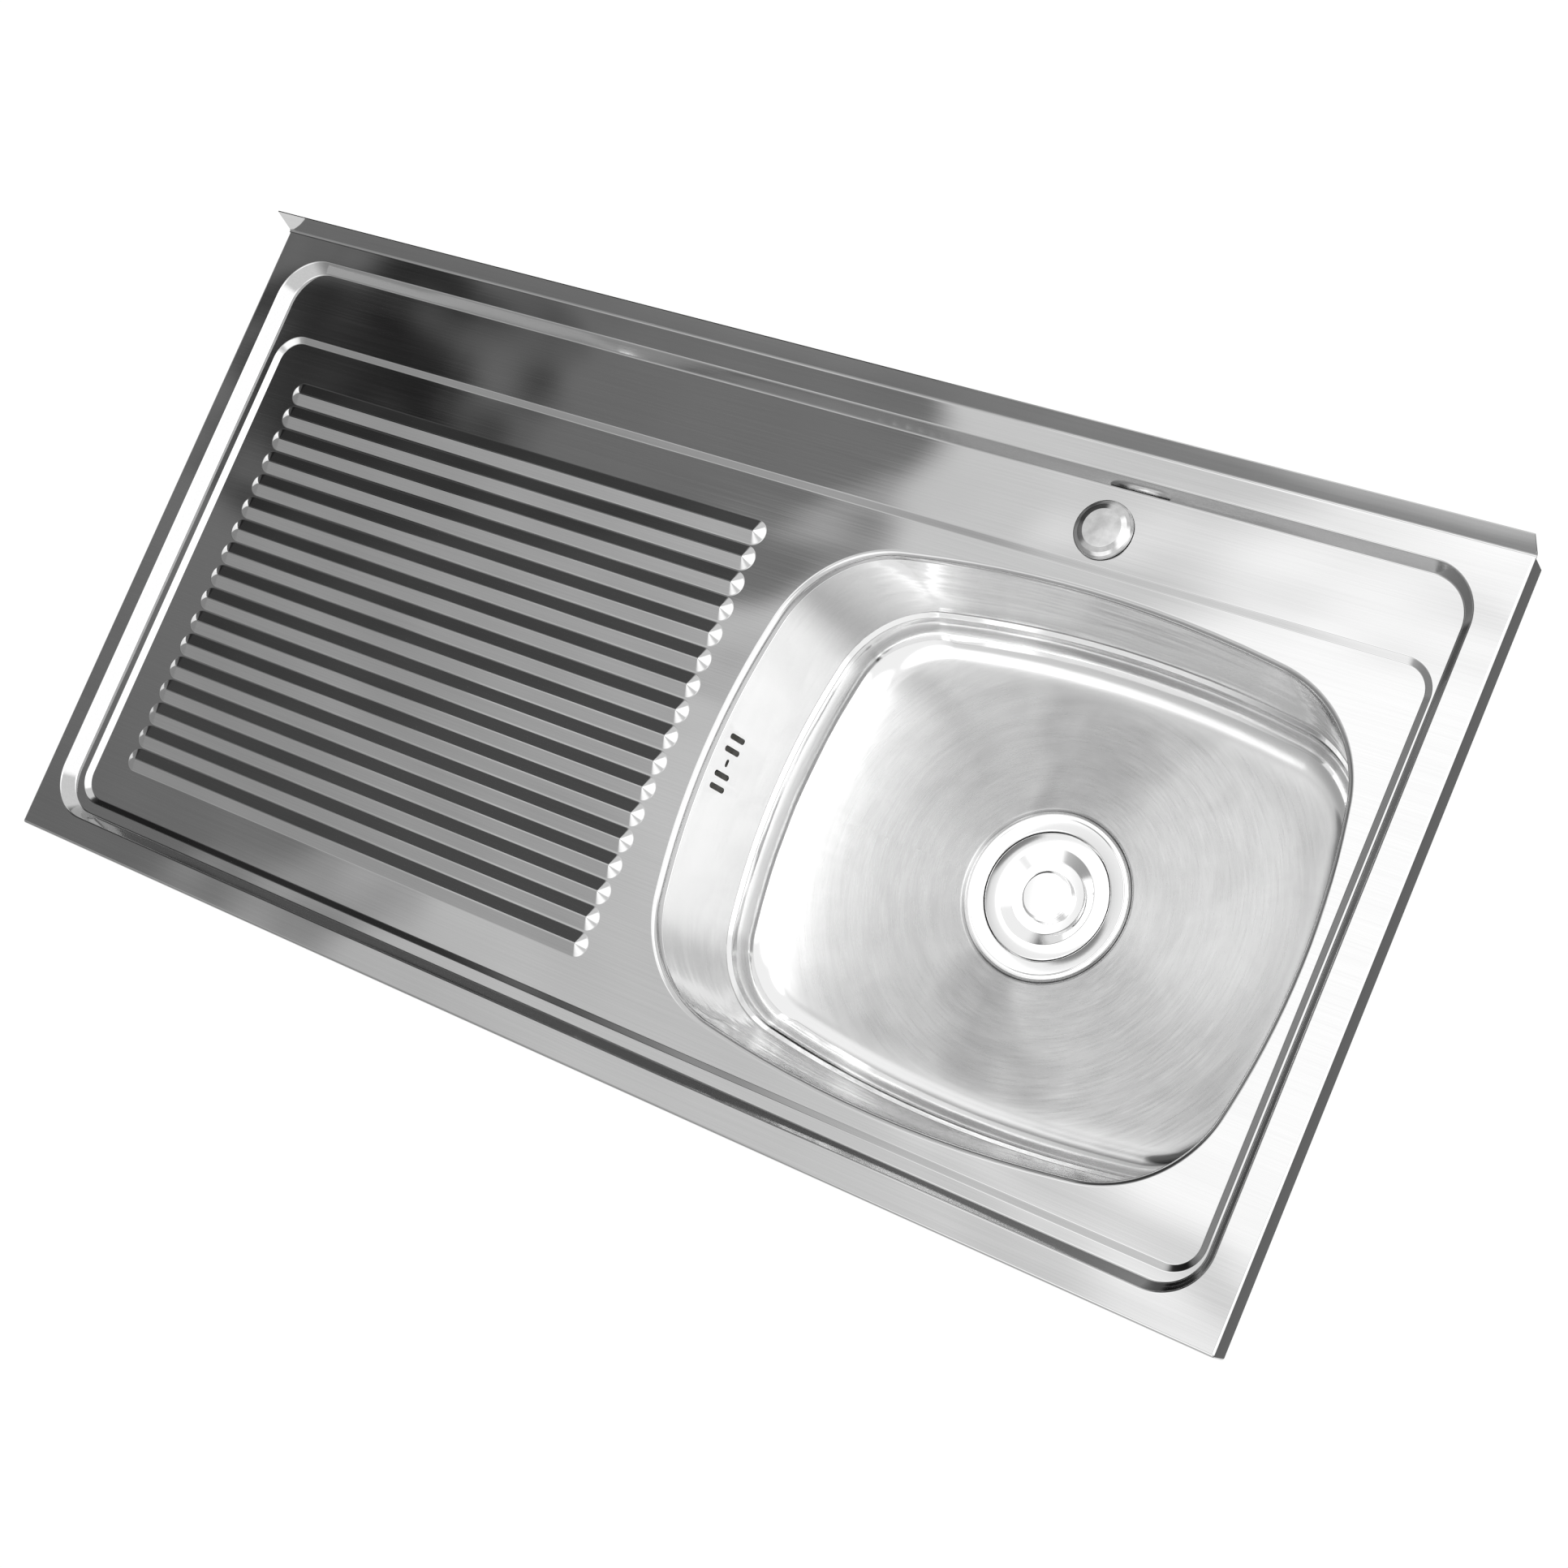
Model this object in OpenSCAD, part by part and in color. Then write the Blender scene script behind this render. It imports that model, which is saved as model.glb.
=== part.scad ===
// Lay-on kitchen sink: pressed steel deck with a ribbed drainer, one deep-drawn bowl,
// a basket waste with an overflow, and a covered tap hole.
// The sheet frame used below has X to the right and Y to the back, with its zero at the deck's
// front left corner and at the top of the border. Each node is moved from it to the row frame,
// whose zero is on the seat under the middle of the front border.

/* [Deck] */
// Width of the deck, left to right
deck_w = 1000; // [940:5:1200]
// Depth of the deck, front to back
deck_d = 500; // [480:5:600]
// Thickness of the steel sheet
sheet_t = 0.8; // [0.6:0.1:1.2]
// Height of the turned-down skirts
skirt_h = 20; // [14:1:40]
// Height of the rear upstand
upstand_h = 20; // [12:1:40]
// Backward lean of the rear upstand, in degrees
upstand_lean = 15; // [0:1:25]
// Outside radius of the folds
fold_r = 1.8; // [1.6:0.1:3]

/* [Recesses] */
// Width of the raised border on the left
border_left = 15; // [12:1:40]
// Width of the raised border on the right
border_right = 21; // [12:1:40]
// Width of the raised border at the front
border_front = 19; // [12:1:40]
// Width of the raised border at the back
border_back = 17; // [12:1:30]
// Corner radius of the outer step
outer_corner_r = 35; // [30:1:45]
// Width of the outer step, bends included
outer_w = 7.6; // [5:0.2:10]
// Drop of the outer step
outer_drop = 9.5; // [5:0.5:14]
// Width of the shelf between the steps at the left and front
shelf_w = 7; // [4:0.5:14]
// Width of the shelf between the steps on the right
shelf_right = 1; // [0.8:0.1:4]
// Width of the tap ledge between the steps at the back
tap_ledge_w = 51.5; // [48:0.5:60]
// Corner radius of the inner step
inner_corner_r = 22; // [16:1:26]
// Width of the inner step, bends included
inner_w = 5; // [4:0.2:8]
// Drop of the inner step
inner_drop = 2.5; // [1.5:0.5:5]
// Bend radius along the edges of the steps
step_bend_r = 1.5; // [1.3:0.1:2.5]

/* [Drainer] */
// Number of ribs
rib_count = 17; // [5:1:17]
// Distance from rib to rib
rib_pitch = 19; // [18.5:0.1:20]
// Width of a rib at its foot
rib_w = 17.5; // [12:0.5:17.5]
// Height of a rib
rib_h = 3; // [2:0.25:5]
// Width of a rib's crest
rib_crest_w = 1.2; // [0.6:0.2:3]
// Distance from the inner step to the ribs' left ends
rib_left_gap = 26; // [15:1:60]
// Distance from the ribs' right ends to the bowl
rib_bowl_gap = 21.5; // [12:0.5:50]

/* [Bowl] */
// Width of the bowl's opening, left to right
bowl_w = 437; // [400:1:450]
// Length of the bowl's opening, front to back
bowl_l = 362; // [330:1:366]
// Depth of the bowl below the drainer floor
bowl_depth = 120; // [110:1:180]
// Radius of the opening's corners
bowl_corner_r = 88; // [80:1:105]
// Distance from the opening to the inner step on the right
bowl_right_gap = 6; // [4:0.5:20]
// Radius of the turned-down rim
rim_r = 4; // [2:0.5:6]
// Depth of the weld seam below the drainer floor
seam_drop = 8; // [7:0.5:12]
// Inward draft of the wall from the seam to the crease
wall_draft = 10; // [5:0.5:16]
// Depth of the crease below the drainer floor
crease_depth = 85; // [70:1:86]
// Inward step at the crease
crease_in = 3; // [1.5:0.5:5]
// Radius between the wall and the floor
floor_r = 26; // [20:1:28]

/* [Overflow] */
// Depth of the slots' centre below the drainer floor
slot_depth = 26; // [24:1:34]
// Length of a slot down the wall
slot_l = 17; // [12:0.5:20]
// Width of a slot
slot_w = 4; // [3:0.25:5]
// Distance from slot to slot
slot_pitch = 9; // [8:0.25:9.5]
// Width of the short middle slot
dash_l = 5.5; // [4:0.25:7]
// Height of the short middle slot
dash_w = 3; // [2:0.25:3.5]
// Height of the overflow box
box_h = 34; // [30:1:44]
// Width of the overflow box
box_w = 58; // [54:1:70]
// Depth of the overflow box
box_d = 29; // [28:0.5:40]
// Thickness of the foam frame behind the slots
foam_t = 2; // [1:0.5:3]
// Outside diameter of the hose
hose_d = 20; // [16:1:20]
// Bore of the hose
hose_bore_d = 15; // [12:0.5:15]
// Distance from rib to rib along the hose
hose_pitch = 4; // [3.5:0.1:6]

/* [Waste] */
// Diameter of the waste's flange
flange_d = 115; // [112:1:118]
// Diameter of the waste hole in the bowl
waste_hole_d = 92; // [91.4:0.2:94]
// Depth of the recess round the waste hole
recess_drop = 2; // [1:0.25:3]
// Bare ring of the recess round the flange
recess_gap = 0.8; // [0.6:0.2:8]
// Inside diameter of the cup's pocket for the lid
pocket_d = 89.2; // [88:0.2:89.6]
// Depth of that pocket
pocket_drop = 6; // [5:0.5:8]
// Thickness of the cup, basket and lid
press_t = 0.8; // [0.6:0.1:1]
// Thickness of the gasket under the flange
flange_gasket_t = 1; // [0.8:0.1:1.5]
// Thickness of the gasket under the bowl
lower_gasket_t = 3; // [2:0.5:4]
// Diameter of the cup's neck, which the basket's seal plugs
neck_d = 62; // [58:1:64]
// Depth of the cup
cup_drop = 44; // [42:1:60]
// Diameter of the lid's dished middle
lid_dish_d = 66.6; // [60:1:72]
// Diameter of the lid's knob
knob_d = 35; // [24:1:38]
// Depth of the overflow inlet's axis below the waste seat
inlet_drop = 42; // [38:1:46]
// Outside diameter of the outlet spigot
outlet_d = 47.8; // [40:0.2:47.8]
// Wall of the outlet spigot
outlet_wall = 4.4; // [3:0.2:5]
// Length of the outlet spigot
outlet_l = 22; // [15:1:40]

/* [Tap hole] */
// Diameter of the tap hole
tap_hole_d = 35; // [30:1:36]
// Distance from the deck's back edge to the tap hole
tap_setback = 53; // [51:0.5:56]
// Distance of the tap hole to the left of the bowl's middle
tap_shift = 7; // [0:1:40]
// Diameter of the tap-hole cover
cover_d = 40; // [38:0.5:44]
// Height of the cover
cover_h = 4.5; // [3:0.5:6]
// Thickness of the ring seal under the cover
cover_seal_t = 1; // [0.5:0.25:2]

/* [Hidden] */
$fn = 96;

// Flat lip at both ends of each swept profile, where it meets a flat plate
lip = 0.25;
// Width of the strip that a fold takes from the border
fold_w = fold_r + lip;
// Segments of a small bend, of a rim and of a large radius
bend_steps = 3;
rim_steps = 5;
floor_steps = 8;
// Gap that lets one piece slide by another
slide_gap = 0.4;
// Gap between curved faces that seat on each other
seat_gap = 0.1;
// Radial clearance of a screw in its thread or hole
screw_gap = 0.05;
// Overshoot of a cutter past the face it cuts
cut = 1;

// Helpers for sheet profiles: a profile is a line of points on the sheet's upper face, listed so
// that the sheet lies to the left of the line.
function unit(v) = v / norm(v);
function left_of(v) = [-v[1], v[0]];
function mitre(a, b, c, t) =
    let (n1 = left_of(unit(b - a)), n2 = left_of(unit(c - b)), m = unit(n1 + n2))
    b + m * t / (m * n1);
function offset_line(p, t) =
    let (last = len(p) - 1)
    [for (i = [0:last])
        i == 0 ? p[0] + t * left_of(unit(p[1] - p[0]))
        : i == last ? p[last] + t * left_of(unit(p[last] - p[last - 1]))
        : mitre(p[i - 1], p[i], p[i + 1], t)];
// Points are kept to a thousandth, so that neighbouring pieces share their end faces exactly
function neat(v) = round(v * 1000) / 1000;
function sheet(p, t) =
    let (q = offset_line(p, t), last = len(q) - 1, all = concat(p, [for (i = [last:-1:0]) q[i]]))
    [for (v = all) [neat(v[0]), neat(v[1])]];
function arc_points(centre, r, a0, a1, steps) =
    [for (i = [0:steps]) let (a = a0 + (a1 - a0) * i / steps) centre + r * [cos(a), sin(a)]];

// A step of the deck: flat, bend down, slope, bend back, flat. It runs inward as u falls.
function step_profile(w, drop, z) =
    let (
        r = step_bend_r,
        slope_l = sqrt(w * w + (drop - 2 * r) * (drop - 2 * r) - 4 * r * r),
        a = atan2(drop - 2 * r, w) + atan2(2 * r, slope_l))
    concat(
        [[lip, z]],
        arc_points([0, z - r], r, 90, 90 + a, bend_steps),
        arc_points([-w, z - drop + r], r, 270 + a, 270, bend_steps),
        [[-w - lip, z - drop]]);

// Rectangles are [x0, y0, x1, y1]
function inset(rect, d) = [rect[0] + d, rect[1] + d, rect[2] - d, rect[3] - d];

shelf_z = -outer_drop;
well_z = shelf_z - inner_drop;
outer_rect = [border_left, border_front, deck_w - border_right, deck_d - border_back];
shelf_rect = inset(outer_rect, outer_w);
inner_rect = [
    shelf_rect[0] + shelf_w, shelf_rect[1] + shelf_w,
    shelf_rect[2] - shelf_right, shelf_rect[3] - tap_ledge_w];
well_rect = inset(inner_rect, inner_w);
shelf_corner_r = outer_corner_r - outer_w;
well_corner_r = inner_corner_r - inner_w;

// The seat under the border, where the cabinet's edge carries the deck
seat_y = border_front / 2;
seat_z = -sheet_t;

// The bowl's opening is an oval of eight arcs about its middle
bowl_x = well_rect[2] - bowl_right_gap - bowl_w / 2;
bowl_y = (well_rect[1] + well_rect[3]) / 2;
seam_z = well_z - seam_drop;
crease_z = well_z - crease_depth;
floor_z = well_z - bowl_depth;
// Each wall's arc meets the corner's arc on a line through the corner's centre. The lines have
// whole-number slopes, 20 in 99 for the left and right walls and 24 in 143 for the other two.
half_w = bowl_w / 2 - bowl_corner_r;
half_l = bowl_l / 2 - bowl_corner_r;
short_k = neat((24 * half_l - 2 * half_w) / 476);
long_k = neat((20 * half_w - 2 * half_l) / 476);
short_way = short_k * [99, 20];
long_way = long_k * [24, 143];
short_bow_r = short_k * 101 + bowl_corner_r;
long_bow_r = long_k * 145 + bowl_corner_r;
corner_x = long_way[0];
corner_y = short_way[1];
side_x = corner_x - short_way[0];
back_y = corner_y - long_way[1];
short_bow = atan2(20, 99);
long_bow = atan2(24, 143);

// Each of the eight arcs is its centre, radius, middle angle, half turn, and the wedge it lies in
function corner_arc(sx, sy) =
    let (c = [sx * corner_x, sy * corner_y],
        v = [sx * short_way[0], sy * short_way[1]],
        w = [sx * long_way[0], sy * long_way[1]])
    [c, bowl_corner_r, atan2(sy, sx), 45, [c, c + v, c + v + w, c + w]];
function side_arc(sx) =
    let (v = [sx * (corner_x + short_way[0]), 2 * corner_y], c = [sx * corner_x, corner_y])
    [[sx * side_x, 0], short_bow_r, 90 - 90 * sx, short_bow,
        [[c[0], -c[1]], [v[0], -v[1]], v, c]];
function back_arc(sy) =
    let (v = [2 * corner_x, sy * (corner_y + long_way[1])], c = [corner_x, sy * corner_y])
    [[0, sy * back_y], long_bow_r, 90 * sy, long_bow,
        [[-c[0], c[1]], [-v[0], v[1]], v, c]];
oval_arcs = [
    side_arc(1), corner_arc(1, 1), back_arc(1), corner_arc(-1, 1),
    side_arc(-1), corner_arc(-1, -1), back_arc(-1), corner_arc(1, -1)
];

// The bowl's wall: seam, drafted wall, crease, short wall, floor radius
wall_foot_u = -rim_r - wall_draft - crease_in - lip;
floor_u = wall_foot_u - floor_r;
rim_profile = concat(
    [[lip, well_z]],
    arc_points([0, well_z - rim_r], rim_r, 90, 180, rim_steps),
    [[-rim_r, seam_z]]);
wall_profile = concat(
    [
        [-rim_r, seam_z],
        [-rim_r, seam_z - lip],
        [-rim_r - wall_draft, crease_z],
        [-rim_r - wall_draft - crease_in, crease_z - crease_in]
    ],
    arc_points([floor_u, floor_z + floor_r], floor_r, 0, -90, floor_steps),
    [[floor_u - lip, floor_z]]);
// Outer face of the drafted wall at height z, as u
wall_lean = atan2(wall_draft, seam_z - lip - crease_z);
function wall_outside(z) =
    -rim_r - (seam_z - lip - z) * tan(wall_lean) + sheet_t / cos(wall_lean);

// Waste sizes, as radii and as heights above the seat in the bowl's recess
flange_r = flange_d / 2;
hole_r = waste_hole_d / 2;
recess_slope_w = 2.2;
recess_r = flange_r + recess_gap + recess_slope_w;
recess_z = floor_z - recess_drop;
pocket_r = pocket_d / 2;
pocket_ledge_w = 3.6;
throat_r = pocket_r - pocket_ledge_w;
neck_r = neck_d / 2;
flange_z = flange_gasket_t + press_t;
bead_h = 0.5;
bead_w = 3;
bead_edge = 0.8;
throat_taper = 0.6;
shoulder_z = -27;
neck_z = -33;
cup_hole_r = 2.6;
screw_r = 3;
screw_head_r = 6.5;
screw_head_h = 3;
seat_ring_w = 4;

// Basket sizes
basket_rim_r = pocket_r - slide_gap;
basket_rim_z = -pocket_drop + press_t;
basket_wall_gap = 1.8;
basket_wall_r = throat_r - basket_wall_gap;
basket_taper = 0.8;
basket_shoulder_z = -24;
basket_neck_z = -31;
basket_floor_z = -38;
seal_r = neck_r - slide_gap;
seal_w = 5;
seal_h = 4.5;
seal_edge = 1.5;
basket_neck_r = seal_r - seal_w - screw_gap - press_t;
post_r = 3;
post_rivet_r = 5;
post_foot_r = 6;
post_knob_r = 7.5;
post_knob_z = -21;
post_top_z = -13;

// Lid sizes
lid_r = pocket_r - 0.7;
lid_gap = 0.2;
lid_top_z = 1.2;
lid_dish_r = lid_dish_d / 2;
lid_floor_z = -3;
lid_dish_slope_w = 8;
lid_floor_r = lid_dish_r - lid_dish_slope_w;
lid_edge = 0.8;
knob_r = knob_d / 2;
knob_neck_r = knob_r - 3;
knob_top_z = 3;
knob_lip_z = 0.4;
knob_edge = 1;
lid_screw_r = 2;
lid_screw_l = 4;

// Waste body sizes
body_top_z = -sheet_t - lower_gasket_t;
body_flange_h = 4;
body_wall = 3;
body_in_r = hole_r + 0.6;
body_out_r = body_in_r + body_wall;
body_floor_z = min(-cup_drop - 14, -inlet_drop - 16);
outlet_r = outlet_d / 2;
outlet_in_r = outlet_r - outlet_wall;
outlet_top_z = body_floor_z - 14;
outlet_end_z = outlet_top_z - outlet_l;
boss_r = 8;
boss_l = 15;
insert_r = 4.5;
spigot_r = 12.4;
spigot_in_r = 9;
spigot_l = 16;

// Overflow sizes
slot_z = well_z - slot_depth;
wall_x = bowl_x - side_x;
box_top_z = slot_z + box_h / 2 - 2;
box_bottom_z = slot_z - box_h / 2;
box_wall = 2.5;
flange_lap = 5;
foam_half_turn = asin((box_w / 2 + flange_lap) / short_bow_r);
foam_top_z = slot_z + 14;
foam_bottom_z = slot_z - 18;
foam_rim = 4;
box_face_u = wall_outside(foam_top_z) + foam_t + box_wall + seat_gap;
box_front_x = wall_x - short_bow_r - box_face_u + box_wall / 2;
box_back_x = box_front_x - box_d;
box_spigot_x = box_back_x + box_d / 2;
box_spigot_z = box_bottom_z - spigot_l;
inlet_z = recess_z - inlet_drop;
inlet_end_x = bowl_x - body_out_r - spigot_l;
washer_t = 2;
collar_t = 2;
nut_lip = 2;
nut_r = 16;
nut_thread_l = 12;
nut_lip_r = hose_d / 2 + 0.6;
hose_top_z = box_spigot_z - washer_t;
hose_end_x = inlet_end_x - washer_t;
hose_lead = hose_d;
hose_bend_r = hose_top_z - hose_lead - inlet_z;
hose_arc_l = hose_bend_r * PI / 2;
hose_run = hose_end_x - box_spigot_x - hose_bend_r;
hose_l = hose_lead + hose_arc_l + hose_run;
hose_sides = 8;
hose_valley = 1.5;

// Tap hole and cover
tap_x = bowl_x - tap_shift;
tap_y = deck_d - tap_setback;
cover_r = cover_d / 2;
cover_wall = 1.2;
cover_bevel_w = 7;
cover_flat_r = cover_r - cover_bevel_w;
cover_rim_w = 3;
cover_boss_r = 5.5;
stud_r = 3;
stud_l = 45;
clamp_r = tap_hole_d / 2 + 5;
clamp_t = 2;
wing_hub_r = 6;
wing_hub_h = 9;
wing_t = 2.4;
wing_eye = [13, -11.5];
wing_eye_r = 4.72;

steel = "silver";
bright_steel = "gainsboro";
black_rubber = [0.12, 0.12, 0.12];
white_plastic = "whitesmoke";
grey_plastic = [0.55, 0.56, 0.58];

module in_row_frame() {
    translate([-deck_w / 2, -seat_y, -seat_z]) children();
}

// The waste's axis, with z counted from the seat in the bowl's recess
module at_waste() {
    in_row_frame() translate([bowl_x, bowl_y, recess_z]) children();
}

// The tap hole's axis, with z counted from the top of the tap ledge
module at_tap_hole() {
    in_row_frame() translate([tap_x, tap_y, shelf_z]) children();
}

// One straight run of a profile along +X, with its outside towards -Y
module run(start, turn, length, profile) {
    translate(start) rotate(turn) rotate([90, 0, 90])
        linear_extrude(length) polygon([for (p = profile) [-p[0], p[1]]]);
}

// One arc of a profile
module bend(centre, r, a0, turn, profile) {
    translate(centre)
        rotate_extrude(angle = turn, start = a0) polygon([for (p = profile) [r + p[0], p[1]]]);
}

// A profile swept round a rectangle with round corners
module rect_sweep(rect, r, profile) {
    w = rect[2] - rect[0] - 2 * r;
    l = rect[3] - rect[1] - 2 * r;
    run([rect[0] + r, rect[1], 0], 0, w, profile);
    run([rect[2], rect[1] + r, 0], 90, l, profile);
    run([rect[2] - r, rect[3], 0], 180, w, profile);
    run([rect[0], rect[3] - r, 0], 270, l, profile);
    bend([rect[2] - r, rect[1] + r, 0], r, 270, 90, profile);
    bend([rect[2] - r, rect[3] - r, 0], r, 0, 90, profile);
    bend([rect[0] + r, rect[3] - r, 0], r, 90, 90, profile);
    bend([rect[0] + r, rect[1] + r, 0], r, 180, 90, profile);
}

module round_rect(rect, r) {
    translate([rect[0] + r, rect[1]]) square([rect[2] - rect[0] - 2 * r, rect[3] - rect[1]]);
    translate([rect[0], rect[1] + r]) square([rect[2] - rect[0], rect[3] - rect[1] - 2 * r]);
    for (x = [rect[0] + r, rect[2] - r], y = [rect[1] + r, rect[3] - r])
        translate([x, y]) circle(r);
}

// A profile swept round the bowl's oval
module oval_sweep(profile) {
    spare = 3;
    for (arc = oval_arcs)
        translate([bowl_x, bowl_y, 0]) intersection() {
            bend([arc[0][0], arc[0][1], 0], arc[1], arc[2] - arc[3] - spare,
                2 * (arc[3] + spare), profile, $fn = 360);
            translate([0, 0, floor_z - cut]) linear_extrude(-floor_z) polygon(arc[4]);
        }
}

// The flat oval, grown or shrunk: a middle and a round segment in each wedge
module oval(grow) {
    square(2 * [corner_x, corner_y], center = true);
    for (arc = oval_arcs)
        intersection() {
            translate(arc[0]) circle(arc[1] + grow, $fn = 360);
            polygon(arc[4]);
        }
}

module stadium(length, r) {
    translate([r, -r]) square([length - 2 * r, 2 * r]);
    for (x = [r, length - r]) translate([x, 0]) circle(r);
}

module skirts() {
    r = fold_w;
    profile = sheet(concat(
        [[0, -skirt_h]],
        arc_points([-fold_r, -fold_r], fold_r, 0, 90, bend_steps),
        [[-r, 0]]), sheet_t);
    side_l = deck_d - 2 * r;
    run([r, 0, 0], 0, deck_w - 2 * r, profile);
    run([deck_w, r, 0], 90, side_l, profile);
    run([0, deck_d - r, 0], 270, side_l, profile);
    bend([deck_w - r, r, 0], r, 270, 90, profile);
    bend([r, r, 0], r, 180, 90, profile);
}

module upstand() {
    turn = 90 - upstand_lean;
    start_u = -fold_r * tan(turn / 2);
    fold = arc_points([start_u, fold_r], fold_r, -90 + turn, -90, bend_steps);
    top = fold[0] + (upstand_h - fold[0][1]) * [tan(upstand_lean), 1];
    profile = sheet(concat([top], fold, [[-fold_w, 0]]), sheet_t);
    run([deck_w, deck_d, 0], 180, deck_w, profile);
}

module border_plate() {
    r = fold_w;
    translate([0, 0, -sheet_t]) linear_extrude(sheet_t) difference() {
        translate([r, r]) square([deck_w - 2 * r, deck_d - 2 * r]);
        round_rect(inset(outer_rect, -lip), outer_corner_r + lip);
    }
}

module shelf_plate() {
    translate([0, 0, shelf_z - sheet_t]) linear_extrude(sheet_t) difference() {
        round_rect(inset(shelf_rect, lip), shelf_corner_r - lip);
        round_rect(inset(inner_rect, -lip), inner_corner_r + lip);
        translate([tap_x, tap_y]) circle(tap_hole_d / 2);
    }
}

rib_x0 = well_rect[0] + rib_left_gap;
rib_l = bowl_x - bowl_w / 2 - rib_bowl_gap - rib_x0;
rib_edge_r = rib_w / 2 + lip;

module at_ribs() {
    for (i = [0:rib_count - 1])
        translate([rib_x0, bowl_y + (i - (rib_count - 1) / 2) * rib_pitch]) children();
}

module well_plate() {
    translate([0, 0, well_z - sheet_t]) linear_extrude(sheet_t) difference() {
        round_rect(inset(well_rect, lip), well_corner_r - lip);
        translate([bowl_x, bowl_y]) oval(lip);
        at_ribs() translate([-lip, 0]) stadium(rib_l + 2 * lip, rib_edge_r);
    }
}

// One rib: a roof-shaped ridge, hollow below, with a half cone at each end
module rib() {
    half = [[rib_edge_r, 0], [rib_w / 2, 0], [rib_crest_w / 2, rib_h]];
    ridge = concat(half, [for (i = [2:-1:0]) [-half[i][0], half[i][1]]]);
    cone = concat(half, [[0, rib_h]]);
    translate([rib_w / 2, 0, well_z]) rotate([90, 0, 90])
        linear_extrude(rib_l - rib_w) polygon(sheet(ridge, sheet_t));
    bend([rib_w / 2, 0, well_z], 0, 90, 180, sheet(cone, sheet_t));
    bend([rib_l - rib_w / 2, 0, well_z], 0, 270, 180, sheet(cone, sheet_t));
}

module deck() {
    color(steel) in_row_frame() {
        border_plate();
        skirts();
        upstand();
        rect_sweep(outer_rect, outer_corner_r, sheet(step_profile(outer_w, outer_drop, 0), sheet_t));
        shelf_plate();
        rect_sweep(inner_rect, inner_corner_r,
            sheet(step_profile(inner_w, inner_drop, shelf_z), sheet_t));
        well_plate();
        at_ribs() rib();
        oval_sweep(sheet(rim_profile, sheet_t));
    }
}

// Round-ended cutter through the bowl's left wall: its long side is down the wall or along it
module wall_slot(y, z, length, width, turn) {
    translate([wall_x - short_bow_r, bowl_y + y, z]) rotate([turn, 0, 0])
        translate([-cut * 5, 0, 0]) rotate([0, 90, 0])
            linear_extrude(20 * cut) translate([-length / 2, 0]) stadium(length, width / 2);
}

module bowl() {
    color(bright_steel) in_row_frame() difference() {
        union() {
            oval_sweep(sheet(wall_profile, sheet_t));
            translate([bowl_x, bowl_y, floor_z - sheet_t]) linear_extrude(sheet_t) difference() {
                oval(floor_u - lip);
                circle(recess_r + lip);
            }
            translate([bowl_x, bowl_y, floor_z]) rotate_extrude() polygon(sheet([
                [recess_r + lip, 0],
                [recess_r, 0],
                [recess_r - recess_slope_w, -recess_drop],
                [hole_r, -recess_drop]
            ], sheet_t));
        }
        for (k = [-2, -1, 1, 2]) wall_slot(k * slot_pitch, slot_z, slot_l, slot_w, 0);
        wall_slot(0, slot_z, dash_l, dash_w, 90);
    }
}

// Two rings of drain holes through a pressed floor, as cutters along the axis
module drain_holes(floor_r, hole_r, z) {
    for (holes = [[12, 8], [8, 17]], i = [0:holes[0] - 1])
        rotate(i * 360 / holes[0]) translate([floor_r - holes[1], 0, z - 2 * press_t])
            cylinder(h = 2 * press_t + cut, r = hole_r, $fn = 24);
}

module ring(r0, r1, z0, z1) {
    rotate_extrude() translate([r0, z0]) square([r1 - r0, z1 - z0]);
}

module flange_gasket() {
    color(black_rubber) at_waste() ring(hole_r + 0.5, flange_r - seat_ring_w, 0, flange_gasket_t);
}

module strainer_cup() {
    color(bright_steel) at_waste() difference() {
        rotate_extrude() polygon(sheet([
            [flange_r, flange_gasket_t + 0.2],
            [flange_r - bead_edge, flange_z + bead_h],
            [flange_r - bead_w, flange_z + bead_h],
            [flange_r - bead_w - bead_edge, flange_z],
            [pocket_r + 1, flange_z],
            [pocket_r, flange_z - 1],
            [pocket_r, -pocket_drop],
            [throat_r, -pocket_drop],
            [throat_r - throat_taper, shoulder_z],
            [neck_r, neck_z],
            [neck_r, -cup_drop],
            [screw_r + screw_gap, -cup_drop]
        ], press_t));
        drain_holes(neck_r, cup_hole_r, -cup_drop);
    }
}

module lower_gasket() {
    color(black_rubber) at_waste() ring(hole_r + 0.5, flange_r, body_top_z, -sheet_t);
}

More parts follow.
